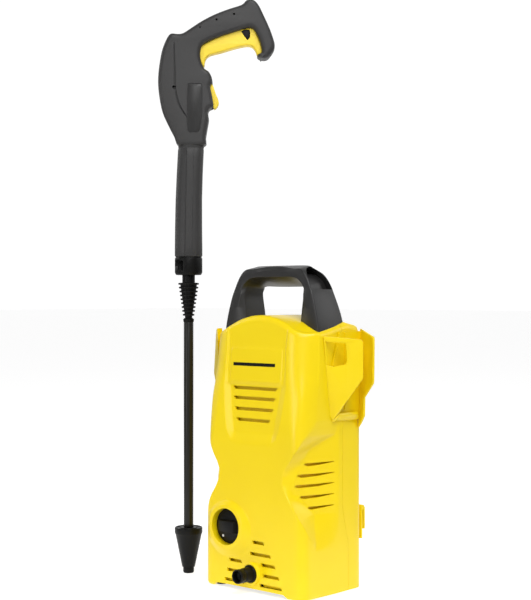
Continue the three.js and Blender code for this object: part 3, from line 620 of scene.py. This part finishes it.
# over the shoulder the ring turns about the inner corner until it is the bar's section
bar_ring = [(0, -18.0, 440.4), (0, -2, 442), (0, 18, 434), (0, 20, 421), (0, 17, 412.5), (0, -10, 420.0), (0, -21.6, 426), (0, -22.6, 435.5)]
corner = []
outer_pts = [(68.4, 412.5), (64.6, 421.6), (60.4, 429.6), (55.4, 436.4), (48.4, 440.9), (37.0, 442.0)]
inner_pts = [(52.0, 408.5), (51.0, 412), (49.0, 414.4), (45.5, 416.2), (40.5, 417.4), (28.0, 417.8)]
for k, (o, i) in enumerate(zip(outer_pts, inner_pts)):
    t = (k + 1) / len(outer_pts)
    yf, yr = -24.4 + 2.0 * t, 26 - 6 * t
    ring = [(o[0] + (i[0] - o[0]) * 0.16 * t, yf + 1.0, o[1] + (i[1] - o[1]) * 0.2 * t),
            (o[0], 1.5 - 1.5 * t, o[1]),
            (o[0] + (i[0] - o[0]) * 0.3 * t - 1, yr - 1 * t, o[1] + (i[1] - o[1]) * 0.36 * t),
            (i[0] + (o[0] - i[0]) * (0.27 - 0.02 * t), yr, i[1] + (o[1] - i[1]) * (0.2 * t)),
            (i[0], 18 - 1 * t, i[1] - 5.0 * t), (i[0], yf + 5 + 7 * t, i[1] + 3.2 * t),
            (i[0] + (o[0] - i[0]) * (0.36 - 0.2 * t), yf + 0.5, i[1] + (o[1] - i[1]) * 0.34 * t + 2.0 * (1 - t) * 0),
            (o[0] + (i[0] - o[0]) * (0.06 + 0.30 * t), yf, o[1] + (i[1] - o[1]) * 0.42 * t)]
    corner.append(ring)
stations += corner
stations.append([(12, p[1], p[2]) for p in bar_ring])
left_st = [[(-x, y, z) for x, y, z in r] for r in stations[::-1]]
key_rings = np.array(stations + left_st)
# smooth pass along the arch, flat facets round the section
sm = catmull(key_rings.reshape(len(key_rings), -1), 4, closed=False).reshape(-1, 8, 3)
handle = obj_from(loft([[tuple(p) for p in r] for r in sm]), "handle")
bevelled(handle, 1.6, 3, 25)
for s in (1, -1):
    prof = [(-22.0, 409.0), (24.5, 409.0), (22.5, 420), (17, 430), (10, 436.5), (1, 439.6), (-8, 438.6), (-16, 434.0), (-20.5, 426)]
    cav = obj_from(prism("x", [tuple(p) for p in catmull(prof[2:], 3, closed=False)] + prof[:2], min(s * 30, s * 100), max(s * 30, s * 100)), "cav")
    # keep the bar's front wall and underside
    low = obj_from(prism("y", [(s * 20, 380), (s * 58, 380), (s * 58, 409.5), (s * 53.0, 421), (s * 45, 428.5), (s * 33, 431), (s * 20, 431)], -40, 40), "low")
    cut(cav, low, "DIFFERENCE")
    cut(handle, cav)
finish_piece(handle, "carry_handle_moulding", "washer", BLACK2, ("carry_handle",), smooth=34)
ribs = []
for x in range(-36, 37, 12):
    ribs.append(loft([[(x - 0.7, -13, 423.5), (x - 0.7, 14, 414.6), (x - 0.7, 14, 417), (x - 0.7, -13, 426)],
                      [(x + 0.7, -13, 423.5), (x + 0.7, 14, 414.6), (x + 0.7, 14, 417), (x + 0.7, -13, 426)]]))


# --------------------------------------------------------- side holders
def thick(pts, back, bev=0.9, name="t"):
    """plate between an outer and an inner outline of equal count"""
    o = obj_from(loft([pts, back]), name)
    return bevelled(o, bev, 3, 25)


def side_holder(s, dy, name, node):
    X = lambda x: s * x
    A = lambda x, y, z: (X(x if s > 0 or x > 92 or z > 302 else x - 5), y + (dy if s > 0 else float(np.interp(z, [282, 307, 340], [-21.0, -17.4, -14.5]))),
                         z if s > 0 else z + float(np.interp(z, [320, 342], [0, 8])))
    front_o = [A(90.2, -22.5, 346.5), A(109, -4.0, 344.5), A(126.2, 13.0, 342), A(127.6, 15.2, 338), A(127.6, 15.2, 292), A(126.4, 14.4, 288.5),
               A(110, 4.5, 262), A(92.0, -5.5, 233.5), A(90.2, -8.5, 240), A(90.2, -15, 285)]
    front_i = [A(90.2, -19.0, 346.5), A(107.5, -0.5, 344.5), A(124.2, 16.0, 342), A(125.4, 17.4, 338), A(125.4, 17.4, 292), A(124.4, 16.8, 288.5),
               A(108.5, 7.5, 262), A(91.8, -1.5, 233.5), A(90.2, -4.5, 240), A(90.2, -11.5, 285)]
    if s < 0:
        front_i = [(x, y + (6.5 if z > 282 else 1.5), z) for x, y, z in front_i]
    ear = obj_from(loft([front_o, front_i]), "ear")
    # window next to the casing
    win = [(91.0, 340), (110.4, 337.0), (111.4, 335.4), (111.4, 313), (109.4, 309), (97.5, 305.6), (91.0, 308)]
    w_o = [(X(px), -70, pz) for px, pz in win]
    w_i = [(X(px), 50, pz) for px, pz in win]
    cut(ear, obj_from(loft([w_o, w_i]), "w"))
    bevelled(ear, 0.9, 3, 30)
    rear_o = [A(90.2, 60.0, 355.5), A(110, 50.5, 349.8), A(126.6, 42.0, 345), A(127.8, 41.0, 341), A(127.8, 40.4, 286), A(126.6, 40.6, 281.6),
              A(107.4, 47.4, 262), A(106.6, 47.8, 237), A(98, 51.5, 226), A(90.2, 55, 219)]
    rear_i = [A(90.2, 57.0, 355.5), A(109, 47.6, 349.8), A(124.8, 39.4, 345), A(125.8, 38.6, 341), A(125.8, 38.0, 286), A(124.8, 38.2, 281.6),
              A(105.8, 44.8, 262), A(105.0, 45.2, 237), A(96.8, 48.8, 226), A(90.2, 52, 219)]
    rear_ear = obj_from(loft([rear_o, rear_i]), "rear")
    bevelled(rear_ear, 0.9, 3, 30)
    # shelf joining the two ears at the bottom, sloping back plate and top rim
    shelf = obj_from(loft([[A(90.2, -6, 232.5), A(93.5, -4, 232.5), A(97.5, 2, 240), A(97.5, 44, 240), A(95.5, 48.5, 232.5), A(90.2, 51, 231)],
                           [A(90.2, -6, 236), A(92.2, -3.5, 236), A(96.0, 3, 243.5), A(96.0, 43, 243.5), A(94.2, 47.5, 236), A(90.2, 50, 234.5)]]), "shelf")
    bevelled(shelf, 0.6, 2, 30)
    plate = obj_from(loft([[A(90.1, -4, 234), A(90.1, 52, 234), A(90.1, 57.5, 352), A(90.1, 10, 352), A(90.1, -8, 300)],
                           [A(92.4, -4, 234), A(92.4, 52, 234), A(92.4, 57.5, 352), A(92.4, 10, 352), A(92.4, -8, 300)]]), "plate")
    # moulded stiffening ribs of the pocket
    rib1 = obj_from(loft([[A(92, 19.0, 246), A(92, 20.6, 246), A(92, 20.6, 352), A(92, 19.0, 352)],
                          [A(94.4, 19.2, 248), A(94.4, 20.4, 248), A(94.4, 20.4, 350), A(94.4, 19.2, 350)]]), "rib1")
    for part in (rear_ear, shelf, plate, rib1):
        cut(ear, part, "UNION")
    full = obj_from(casing(False), "full")
    cut(ear, full, "DIFFERENCE")
    finish_piece(ear, name, "washer", YELLOW, (node,), smooth=34)


side_holder(1, 0, "gun_holster_moulding", "gun_holster")
side_holder(-1, -15, "lance_holder_moulding", "lance_holder")

# rib set of the handle and the printed bar
finish_piece(obj_from(joined(ribs), "ribs"), "handle_ribs", "washer", BLACK2, ())
finish_piece(bar, "label_bar", "washer", BLACK, ())

# -------------------------------------------------------------------- dial
disc = lathe([(0.01, -64.8), (20.5, -64.8), (21.2, -64.4), (21.6, -63.2), (23.2, -63.2), (24.0, -62.4), (24.0, -61.2), (0.01, -61.2)], "y", (-43, 85), 64)
grip = loft([[(-60.5, -64.2, 77.8), (-60.5, -64.2, 92.2), (-60.5, -66.0, 91.4), (-60.5, -66.0, 78.6)],
             [(-56, -64.2, 76.6), (-56, -64.2, 93.4), (-55.5, -69.4, 91.9), (-55.5, -69.4, 78.1)],
             [(-34, -64.2, 75.6), (-34, -64.2, 94.4), (-35.5, -71.4, 92.6), (-35.5, -71.4, 77.4)],
             [(-26, -64.2, 76.4), (-26, -64.2, 93.6), (-29.0, -70.6, 91.8), (-29.0, -70.6, 78.2)]])
d_o = obj_from(disc, "dial")
cut(d_o, obj_from(grip, "g"), "UNION")
bevelled(d_o, 0.7, 3, 30)
stem = obj_from(rod("y", (-43, 85), -61.4, -54, 4.0, n=24), "stem")
cut(d_o, stem, "UNION")
finish_piece(d_o, "dial_knob", "dial", BLACK, ("switch_dial",), smooth=34)
mk = obj_from(lathe([(0.01, -64.75), (1.5, -64.75), (1.8, -64.95), (1.5, -65.1), (0.01, -65.15)], "y", (-52.5, 71.2), 20), "mk")
finish_piece(mk, "dial_mark", "dial", WHITE, ())

# ------------------------------------------------------------------ outlet
stub = obj_from(lathe([(4.6, -63), (9.6, -63), (9.6, -83), (9.4, -83.6), (9.0, -84), (8.9, -84.4), (8.9, -86.4), (9.0, -86.9), (9.4, -87.4), (9.6, -88), (9.6, -93.8),
                       (9.3, -94.7), (8.8, -95), (8.1, -95), (7.7, -94.4), (7.6, -86), (4.6, -84)], "y", (1, 26.5), 56, closed=True), "stub")
finish_piece(stub, "outlet_nipple", "washer", BLACK, ("outlet_stub",))
coll = obj_from(lathe([(9.8, -60.2), (11.5, -60.2), (11.5, -70.6), (11.0, -71.6), (10.4, -72), (9.9, -71.7)], "y", (1, 26.5), 56, closed=True), "coll")
finish_piece(coll, "outlet_lock_ring", "washer", BLACK, ("outlet_collar",))


# --------------------------------------------------------------------- gun
OUT = [(-12.5, 616), (-20.2, 628.9), (-29.4, 646.6), (-37, 664.2), (-41.1, 683.5), (-43.3, 702.8), (-43, 718.9), (-41.1, 735), (-38.2, 751), (-33.8, 763.9), (-28.5, 773.9), (-23.9, 777.4), (-15.4, 776.8), (-7.3, 778), (3.9, 785.1), (20, 795.6), (39.3, 805.4), (58.6, 812.8), (77.1, 818.9), (84, 825.4), (93.6, 825.9), (101.2, 818.5), (108.4, 804.1), (116.5, 786.4), (121.6, 772.7), (124.5, 761.5), (122.9, 754.6), (118.4, 747.8), (112.9, 742.4), (104.4, 742.2), (99.0, 746.0), (105.4, 751.0), (103.8, 762.8), (99.6, 774.2), (95.4, 781.6), (90.2, 785.4), (84.0, 784.9), (71.6, 781.4), (55.8, 776.4), (39.8, 770.8), (27.2, 765.2), (20.2, 760.2), (17.6, 752.4), (17.4, 743.6), (19.4, 734.4), (23.0, 727.2), (29.5, 722.6), (33.8, 714.3), (34.4, 706.3), (31.6, 702.0), (33.4, 691.8), (35.3, 682.6), (36.2, 676.6), (35.6, 671.6), (29.9, 668.6), (28.2, 663.5), (29.3, 654.6), (27.4, 643.4), (25, 628.9), (22.4, 616)]
CHEEK = [(-13, 618), (-19, 631), (-27, 649), (-33, 667), (-37, 686), (-39, 704), (-38.6, 719), (-37, 734), (-34, 749), (-30, 761), (-24, 771), (-15, 771.5), (-5, 773), (6, 779), (22, 789), (40, 799), (59, 806.5), (79, 812), (86, 818), (93, 818.5), (97, 814), (104, 801), (111, 785), (116, 771), (118.6, 762), (114, 754), (109.4, 765), (104.4, 778), (99, 787), (91.5, 791.5), (83, 790.6), (70, 786.6), (54, 781.5), (38, 776), (24, 770), (13, 763), (8, 754), (8, 741), (12, 731), (19, 722), (27, 717), (29.6, 711), (28, 704), (26, 701), (27, 690), (29, 681), (28.6, 673), (26, 669.5), (24.6, 663), (25.6, 654), (23.6, 643), (21, 629), (19, 618)]
TRIG = [(20.6, 731), (15.6, 741.1), (14.8, 751.4), (17.8, 759.6), (26.6, 765.2), (46.8, 775.5), (68.9, 782.9), (89.6, 786.6), (95.6, 783.3), (100.6, 773.3), (105, 761.6), (106.6, 751.2), (99.6, 747.4), (96.8, 753.4), (92.8, 758.9), (85.2, 761.2), (68.9, 758.2), (46.8, 751.6), (32, 747.8), (25.6, 743.2), (23.4, 737), (22.8, 731.9)]
LATCH = [(30.7, 704.0), (34.8, 705.0), (39.2, 692.4), (42.9, 683.5), (43.6, 677.8), (40.9, 671.9), (36.6, 669.8), (34.4, 679.1), (31.5, 695.3)]
LOCK = [(76.3, 781), (81, 783.4), (88.1, 783.4), (89, 778), (88.4, 772.6), (85.6, 768.4), (81.2, 773.6)]


def puffed(outline, half, depth, sub=3, res=3, name="p"):
    """Outline in the gun's plane, swept across it with rounded rims."""
    pts = catmull(outline, sub)
    cu = bpy.data.curves.new(name, "CURVE")
    cu.dimensions = "2D"
    cu.fill_mode = "BOTH"
    sp = cu.splines.new("POLY")
    sp.points.add(len(pts) - 1)
    for p, q in zip(sp.points, pts):
        p.co = (q[0], q[1], 0, 1)
    sp.use_cyclic_u = True
    cu.extrude = half - depth
    cu.bevel_depth = depth
    cu.bevel_resolution = res
    cu.offset = -depth
    o = bpy.data.objects.new(name, cu)
    scene.collection.objects.link(o)
    dg = bpy.context.evaluated_depsgraph_get()
    dg.update()
    me = bpy.data.meshes.new_from_object(o.evaluated_get(dg))
    bpy.data.objects.remove(o)
    bm = bmesh.new()
    bm.from_mesh(me)
    bmesh.ops.remove_doubles(bm, verts=bm.verts, dist=0.002)
    for v in bm.verts:
        x, y, z = v.co
        v.co = (x, -z, y)
    bmesh.ops.recalc_face_normals(bm, faces=bm.faces)
    bm.to_mesh(me)
    bm.free()
    return outward(me)


def halves(o, gap=0.12):
    out = []
    for side in (-1, 1):
        me = o.data.copy()
        bm = bmesh.new()
        bm.from_mesh(me)
        g = bmesh.ops.bisect_plane(bm, geom=bm.verts[:] + bm.edges[:] + bm.faces[:], dist=1e-4,
                                   plane_co=(0, side * gap, 0), plane_no=(0, side, 0), clear_inner=True)
        edges = [e for e in g["geom_cut"] if isinstance(e, bmesh.types.BMEdge)]
        bmesh.ops.holes_fill(bm, edges=bm.edges[:], sides=0)
        bmesh.ops.recalc_face_normals(bm, faces=bm.faces)
        bm.to_mesh(me)
        bm.free()
        out.append(obj_from(outward(me), "half"))
    drop(o)
    return out


body = obj_from(puffed(OUT, 17.0, 6.2, res=5), "gun")
# pocket for the trigger, recess of the side panel, groove, screw holes
pocket = [tuple(p) for p in catmull(TRIG, 2)]
cx, cz = 60, 765


def widened(pts, d):
    q = np.array(pts)
    n = len(q)
    t = np.roll(q, -1, 0) - np.roll(q, 1, 0)
    nn = np.stack([t[:, 1], -t[:, 0]], 1)
    nn /= np.linalg.norm(nn, axis=1)[:, None]
    a = 0.5 * np.sum(q[:, 0] * np.roll(q[:, 1], -1) - np.roll(q[:, 0], -1) * q[:, 1])
    return q + nn * (d if a > 0 else -d)


for deg in (0.0, 3.0, 6.0):
    w = widened(pocket, 0.7)
    t = math.radians(deg)
    k, s_ = math.cos(t), math.sin(t)
    w = [(19.2 + (x - 19.2) * k - (z - 745) * s_, 745 + (x - 19.2) * s_ + (z - 745) * k) for x, z in w]
    cut(body, obj_from(prism("y", w, -9.1, 9.1), "tp"))
    w = widened(LOCK, 0.8)
    w = [(19.2 + (x - 19.2) * k - (z - 745) * s_, 745 + (x - 19.2) * s_ + (z - 745) * k) for x, z in w]
    cut(body, obj_from(prism("y", w, -11.7, 9.3), "kp"))
for deg in (0.0, -2.2, -4.4):
    w = widened(catmull(LATCH, 2), 0.7)
    t = math.radians(deg)
    k, s_ = math.cos(t), math.sin(t)
    w = [(33 + (x - 33) * k - (z - 695) * s_, 695 + (x - 33) * s_ + (z - 695) * k) for x, z in w]
    cut(body, obj_from(prism("y", w, -7.6, 7.6), "lp"))
panel = [(-0.9, 703), (1.2, 705.2), (17.4, 705.2), (20.6, 702.8), (21.0, 698), (21.0, 660), (18.4, 640), (15, 634.4), (1.5, 634), (-1.6, 637.5), (-2.6, 650), (-2.2, 690)]
for s in (-1, 1):
    cut(body, obj_from(prism("y", panel, min(s * 16.0, s * 22), max(s * 16.0, s * 22)), "pn"))
gro = catmull([(-19.9, 763), (-19.6, 747), (-19.2, 730), (-18.9, 712), (-18.6, 699), (-15.6, 683.5), (-11.6, 672), (-6.2, 663), (-2.0, 657.4)], 4, closed=False)
tt = np.gradient(gro, axis=0)
tn = np.stack([-tt[:, 1], tt[:, 0]], 1)
tn /= np.linalg.norm(tn, axis=1)[:, None]
wd = (0.35 + 1.15 * np.sin(np.linspace(0.12, 3.0, len(gro))) ** 0.8)[:, None]
strip = [tuple(p) for p in gro + tn * wd] + [tuple(p) for p in (gro - tn * wd)[::-1]]
for s in (-1, 1):
    cut(body, obj_from(prism("y", strip, min(s * 13.6, s * 22), max(s * 13.6, s * 22)), "gv"))
    for hx, hz, hr in [(-19.7, 699.5, 2.7), (17.2, 785.7, 1.2), (40.9, 796.5, 1.6), (66, 804.5, 1.6)]:
        cut(body, obj_from(rod("y", (hx, hz), min(s * 9, s * 22), max(s * 9, s * 22), hr, n=24), "hole"))
cut(body, obj_from(prism("y", [(-40, 600), (40, 600), (40, 617.2), (-40, 617.2)], -30, 30), "btm"))
near, far = halves(body)
finish_piece(near, "gun_half_near", "gun", GUNBODY, ("gun_shell_near",), smooth=40, gun=True)
finish_piece(far, "gun_half_far", "gun", GUNBODY, ("gun_shell_far",), smooth=40, gun=True)

trig = obj_from(puffed(TRIG, 9.05, 2.4), "trig")
cut(trig, obj_from(prism("y", [tuple(p) for p in widened(LOCK, 0.35)], -20, 20), "lk"))
cut(trig, obj_from(rod("y", (19.2, 745), -8.96, 8.96, 2.02, n=24), "pinhole"))
finish_piece(trig, "trigger_lever", "trigger", YELLOW2, ("gun_trigger",), smooth=40, gun=True)
lock = obj_from(prism("y", LOCK, -9.2, 9.2), "lock")
bevelled(lock, 0.8, 3, 30)
finish_piece(lock, "trigger_lock_button", "lock", BLACK, ("trigger_lock",), gun=True)
latch = obj_from(puffed(LATCH, 6.8, 1.4), "latch")
finish_piece(latch, "hose_latch_clip", "latch", YELLOW2, ("hose_latch",), gun=True)
for s, nm in ((-1, "near"), (1, "far")):
    plate = obj_from(prism("y", [tuple(p) for p in widened(panel, -1.3)], min(s * 15.9, s * 16.7), max(s * 15.9, s * 16.7)), "pl")
    bevelled(plate, 0.35, 2, 30)
    finish_piece(plate, "gun_side_panel_" + nm, "gun", BLACK2, (), gun=True)


# straight grip with its long creases
GRIP = [(1.0, 0.0), (0.97, -0.42), (0.80, -0.76), (0.52, -0.93), (0.10, -0.99), (-0.235, -1.0), (-0.275, -0.985), (-0.62, -0.80), (-0.88, -0.52), (-0.99, -0.2),
        (-0.99, 0.2), (-0.88, 0.52), (-0.62, 0.80), (-0.275, 0.985), (-0.235, 1.0), (0.10, 0.99), (0.52, 0.93), (0.80, 0.76), (0.97, 0.42)]
GRIP = catmull(GRIP, 4)


def oval(z, w, d, cx_, n=72):
    return [(cx_ + x * w, y * d, z) for x, y in GRIP]


rings = []
for z, w, d, c in [(456.9, 19.2, 17.9, 0), (458.2, 19.9, 18.5, 0), (470, 19.9, 18.5, 0), (500, 19.6, 18.2, 0), (540, 19.1, 17.4, 0.4), (575, 18.8, 16.8, 1.6), (600, 18.7, 16.2, 2.8),
                   (611, 18.7, 15.9, 3.4), (612.4, 18.2, 15.4, 3.5), (614.0, 18.2, 15.4, 3.6), (615.0, 18.7, 15.8, 3.7), (617.15, 18.7, 15.8, 3.7)]:
    rings.append(oval(z, w, d, c))
grip_o = obj_from(loft(rings), "grip")
for s in (-1, 1):
    for xx, ww in ((-4.5, 0.45), (5.5, 0.25)):
        cut(grip_o, obj_from(loft([[(xx - ww, s * 17.2, 458), (xx + ww, s * 17.2, 458), (xx + ww, s * 22, 458), (xx - ww, s * 22, 458)],
                                   [(xx + 2.8 - ww, s * 14.6, 613), (xx + 2.8 + ww, s * 14.6, 613), (xx + 2.8 + ww, s * 20, 613), (xx + 2.8 - ww, s * 20, 613)]]), "cr"))
finish_piece(grip_o, "straight_grip", "gun", GUNBODY, ("grip_tube",), smooth=36, gun=True)

# bayonet collar with its slot
prof = [(10, 430.2), (17.4, 430.2), (18.6, 431.0), (19.6, 433.2), (19.9, 434.0), (19.9, 453.8), (19.6, 454.8), (18.8, 455.4), (18.8, 456.6), (10, 456.6)]
cl = obj_from(lathe(prof, "z", (0, 0), 64, closed=True), "cl")
cut(cl, obj_from(loft([[(-25, -30, 443), (-14.4, -30, 443), (-14.4, -30, 437), (-7.4, -30, 437), (-7.4, -30, 450.5), (-14.4, -30, 451.5), (-25, -30, 451.5)],
                       [(-25, -4, 443), (-14.4, -4, 443), (-14.4, -4, 437), (-7.4, -4, 437), (-7.4, -4, 450.5), (-14.4, -4, 451.5), (-25, -4, 451.5)]]), "sl"))
for k in range(24):
    t = 2 * math.pi * (k + 0.5) / 24
    if -2.5 < (math.degrees(t) + 180) % 360 - 180 + 90 < 2.5:
        continue
bevelled(cl, 0.5, 2, 30)
finish_piece(cl, "bayonet_ring", "gun", BLACK, ("bayonet_collar",), gun=True)

# neck with its ribs, tube and cone
prof = [(4.3, 444.8), (8.7, 444.8), (9.2, 444.2), (9.2, 419.4)]
r0 = 15.0
for i in range(9):
    z = 418.6 - i * 5.6
    r = 15.0 - i * 0.82
    prof += [(r - 0.5, z + 0.3), (r, z - 0.1), (r, z - 1.7), (r - 0.4, z - 2.2), (r - 3.0, z - 2.6), (r - 3.2, z - 5.0)]
prof += [(7.9, 366.5), (7.5, 362.6), (4.3, 362.6)]
finish_piece(obj_from(lathe(prof, "z", (0, 0), 48, closed=True), "nk"), "lance_neck_sleeve", "lance", BLACK, ("lance_neck",), gun=True)
prof = [(4.9, 66.8), (6.9, 66.8), (7, 67.4), (7, 361.8), (6.8, 362.5), (4.9, 362.5)]
finish_piece(obj_from(lathe(prof, "z", (0, 0), 48, closed=True), "tb"), "lance_pipe", "lance", TUBE, ("lance_tube",), gun=True)
prof = [(7.5, 66.0), (12.4, 66.0), (12.9, 64.8), (13.4, 64.8), (17.6, 64.9), (18.0, 65.8), (19.2, 66.0), (19.9, 65.3), (20, 64.6), (20, 58.6), (19.4, 57.0), (18.9, 56.4), (9.3, 9.6), (9.0, 9.0), (7.7, 9.0), (7.7, 14), (13, 42), (7.5, 50)]
finish_piece(obj_from(lathe(prof, "z", (0, 0), 64, closed=True), "nz"), "nozzle_shroud", "lance", BLACK, ("nozzle_cone",), gun=True)
prof = [(2.1, 0.2), (5.6, 0.1), (6.8, 0.4), (7.7, 1.6), (7.9, 3.0), (7.9, 8.4), (7.2, 8.5), (7.2, 13.2), (2.1, 13.2)]
finish_piece(obj_from(lathe(prof, "z", (0, 0), 48, closed=True), "nt"), "nozzle_ring", "lance", BLACK, ("nozzle_tip",), gun=True)

# --------------------------------------------- other pieces and CAD nodes
hook = obj_from(loft([[(54, 65.4, 66), (86, 65.4, 66), (86, 65.4, 112), (54, 65.4, 112)], [(54, 68.2, 66), (86, 68.2, 66), (86, 68.2, 112), (54, 68.2, 112)]]), "hook")
lip = obj_from(prism("x", [(65.6, 111.6), (70, 111.9), (74.5, 110.6), (76.6, 107), (76.9, 80), (75.8, 77.6), (74.2, 78.0), (74.0, 103), (72.5, 105.6), (65.6, 106.6)], 57, 84), "lip")
cut(hook, lip, "UNION")
bevelled(hook, 0.7, 3, 30)
finish_piece(hook, "cable_hook", "washer", YELLOW, ("rear_hook",))
gland = obj_from(lathe([(3.1, 57), (5.9, 57), (5.9, 65.5), (8.8, 65.6), (9, 66.2), (9, 69), (8.5, 69.9), (6.1, 70.1), (5.8, 71), (5.8, 72), (5.2, 72.4), (5.2, 73.2), (5.4, 73.6), (5.2, 74.6), (4.8, 75), (4.6, 76.3), (3.1, 76.4)], "y", (-50, 36), 40, closed=True), "gl")
finish_piece(gland, "cable_sleeve", "washer", RUBBER, ("cable_gland",))

slots = {d["node"]: d["material_slot"] for d in frame["record"]["subparts"]}
for node, slot in slots.items():
    o = bpy.data.objects.get(node)
    if o is None or o.type != "MESH":
        continue
    mat = SLOT_OF[slot]
    if len(o.material_slots) == 0:
        o.data.materials.append(mat)
    for ms in o.material_slots:
        ms.material = mat

# -------------------------------------------------------------- the studio
fl = obj_from(build([(-30, -30, 0), (30, -30, 0), (30, 30, 0), (-30, 30, 0)], [(0, 1, 2, 3)]), "studio_floor")
fm = bpy.data.materials.new("floor_paper")
fm.use_nodes = True
fb = fm.node_tree.nodes["Principled BSDF"]
fn = fm.node_tree.nodes.new("ShaderNodeTexNoise")
fn.inputs["Scale"].default_value = 3.0
fr = fm.node_tree.nodes.new("ShaderNodeValToRGB")
fr.color_ramp.elements[0].color = (0.58, 0.58, 0.58, 1)
fr.color_ramp.elements[1].color = (0.60, 0.60, 0.60, 1)
fm.node_tree.links.new(fn.outputs["Fac"], fr.inputs["Fac"])
fm.node_tree.links.new(fr.outputs["Color"], fb.inputs["Base Color"])
fb.inputs["Roughness"].default_value = 0.9
fb.inputs["Emission Color"].default_value = (1, 1, 1, 1)

# the paper glows under and behind the object and falls off towards the room
ft = fm.node_tree
fc = ft.nodes.new("ShaderNodeTexCoord")


def along(vec):
    n = ft.nodes.new("ShaderNodeVectorMath")
    n.operation = "DOT_PRODUCT"
    n.inputs[1].default_value = vec
    ft.links.new(fc.outputs["Object"], n.inputs[0])
    return n.outputs["Value"]


def ranged(sock, a, b, c, d):
    n = ft.nodes.new("ShaderNodeMapRange")
    n.interpolation_type = "SMOOTHSTEP"
    n.inputs["From Min"].default_value = a
    n.inputs["From Max"].default_value = b
    n.inputs["To Min"].default_value = c
    n.inputs["To Max"].default_value = d
    ft.links.new(sock, n.inputs["Value"])
    return n.outputs["Result"]


def times(p, q):
    n = ft.nodes.new("ShaderNodeMath")
    n.operation = "MULTIPLY"
    ft.links.new(p, n.inputs[0])
    ft.links.new(q, n.inputs[1])
    return n.outputs["Value"]


depth_w = ranged(along((-0.6626, 0.749, 0.0)), -0.55, -0.16, 0.0, 0.72)
right_w = ranged(along((0.749 - 0.6626 * -0.22, 0.6626 - 0.749 * 0.22, 0.0)), 0.40, 0.75, 1.0, 0.0)
left_w = ranged(along((-0.749 - 0.6626 * -0.22, -0.6626 - 0.749 * 0.22, 0.0)), 0.40, 0.75, 1.0, 0.0)
ft.links.new(times(depth_w, times(right_w, left_w)), fb.inputs["Emission Strength"])
fb.inputs["Specular IOR Level"].default_value = 0.1
fl.data.materials.append(fm)

world = bpy.data.worlds.new("studio")
scene.world = world
world.use_nodes = True
wt = world.node_tree
wt.nodes["Background"].inputs["Color"].default_value = (1, 1, 1, 1)
# a bright backdrop behind the object, a dimmer room on the other side
wc = wt.nodes.new("ShaderNodeTexCoord")
wd = wt.nodes.new("ShaderNodeVectorMath")
wd.operation = "DOT_PRODUCT"
wd.inputs[1].default_value = (-0.6626, 0.749, 0.0)
wm = wt.nodes.new("ShaderNodeMapRange")
wm.inputs["From Min"].default_value = 0.35
wm.inputs["From Max"].default_value = 0.85
wm.inputs["To Min"].default_value = 0.26
wm.inputs["To Max"].default_value = 1.05
wt.links.new(wc.outputs["Generated"], wd.inputs[0])
wt.links.new(wd.outputs["Value"], wm.inputs["Value"])
wt.links.new(wm.outputs["Result"], wt.nodes["Background"].inputs["Strength"])


def area(name, loc, target, size, power, color=(1, 1, 1)):
    l = bpy.data.lights.new(name, "AREA")
    l.shape = "RECTANGLE"
    l.size, l.size_y = size
    l.energy = power
    l.color = color
    o = bpy.data.objects.new(name, l)
    scene.collection.objects.link(o)
    o.location = loc
    d = Vector(target) - Vector(loc)
    o.rotation_euler = d.to_track_quat("-Z", "Y").to_euler()
    return o


area("key", (1.7, -0.9, 2.8), (0, 0, 0.25), (1.5, 1.5), 62)
area("front", (1.3, -1.55, 1.3), (-0.05, 0, 0.5), (0.8, 0.7), 11)
area("strip", (-0.42, -2.7, 0.55), (0, 0, 0.28), (0.4, 0.9), 10)
area("left", (-2.2, -0.9, 1.3), (0, 0, 0.35), (0.7, 1.4), 10)
area("rim", (1.55, 1.95, 1.3), (0.05, 0, 0.2), (0.9, 0.9), 7)

scene.view_settings.view_transform = "Standard"
scene.view_settings.look = "None"
scene.view_settings.exposure = 0.0
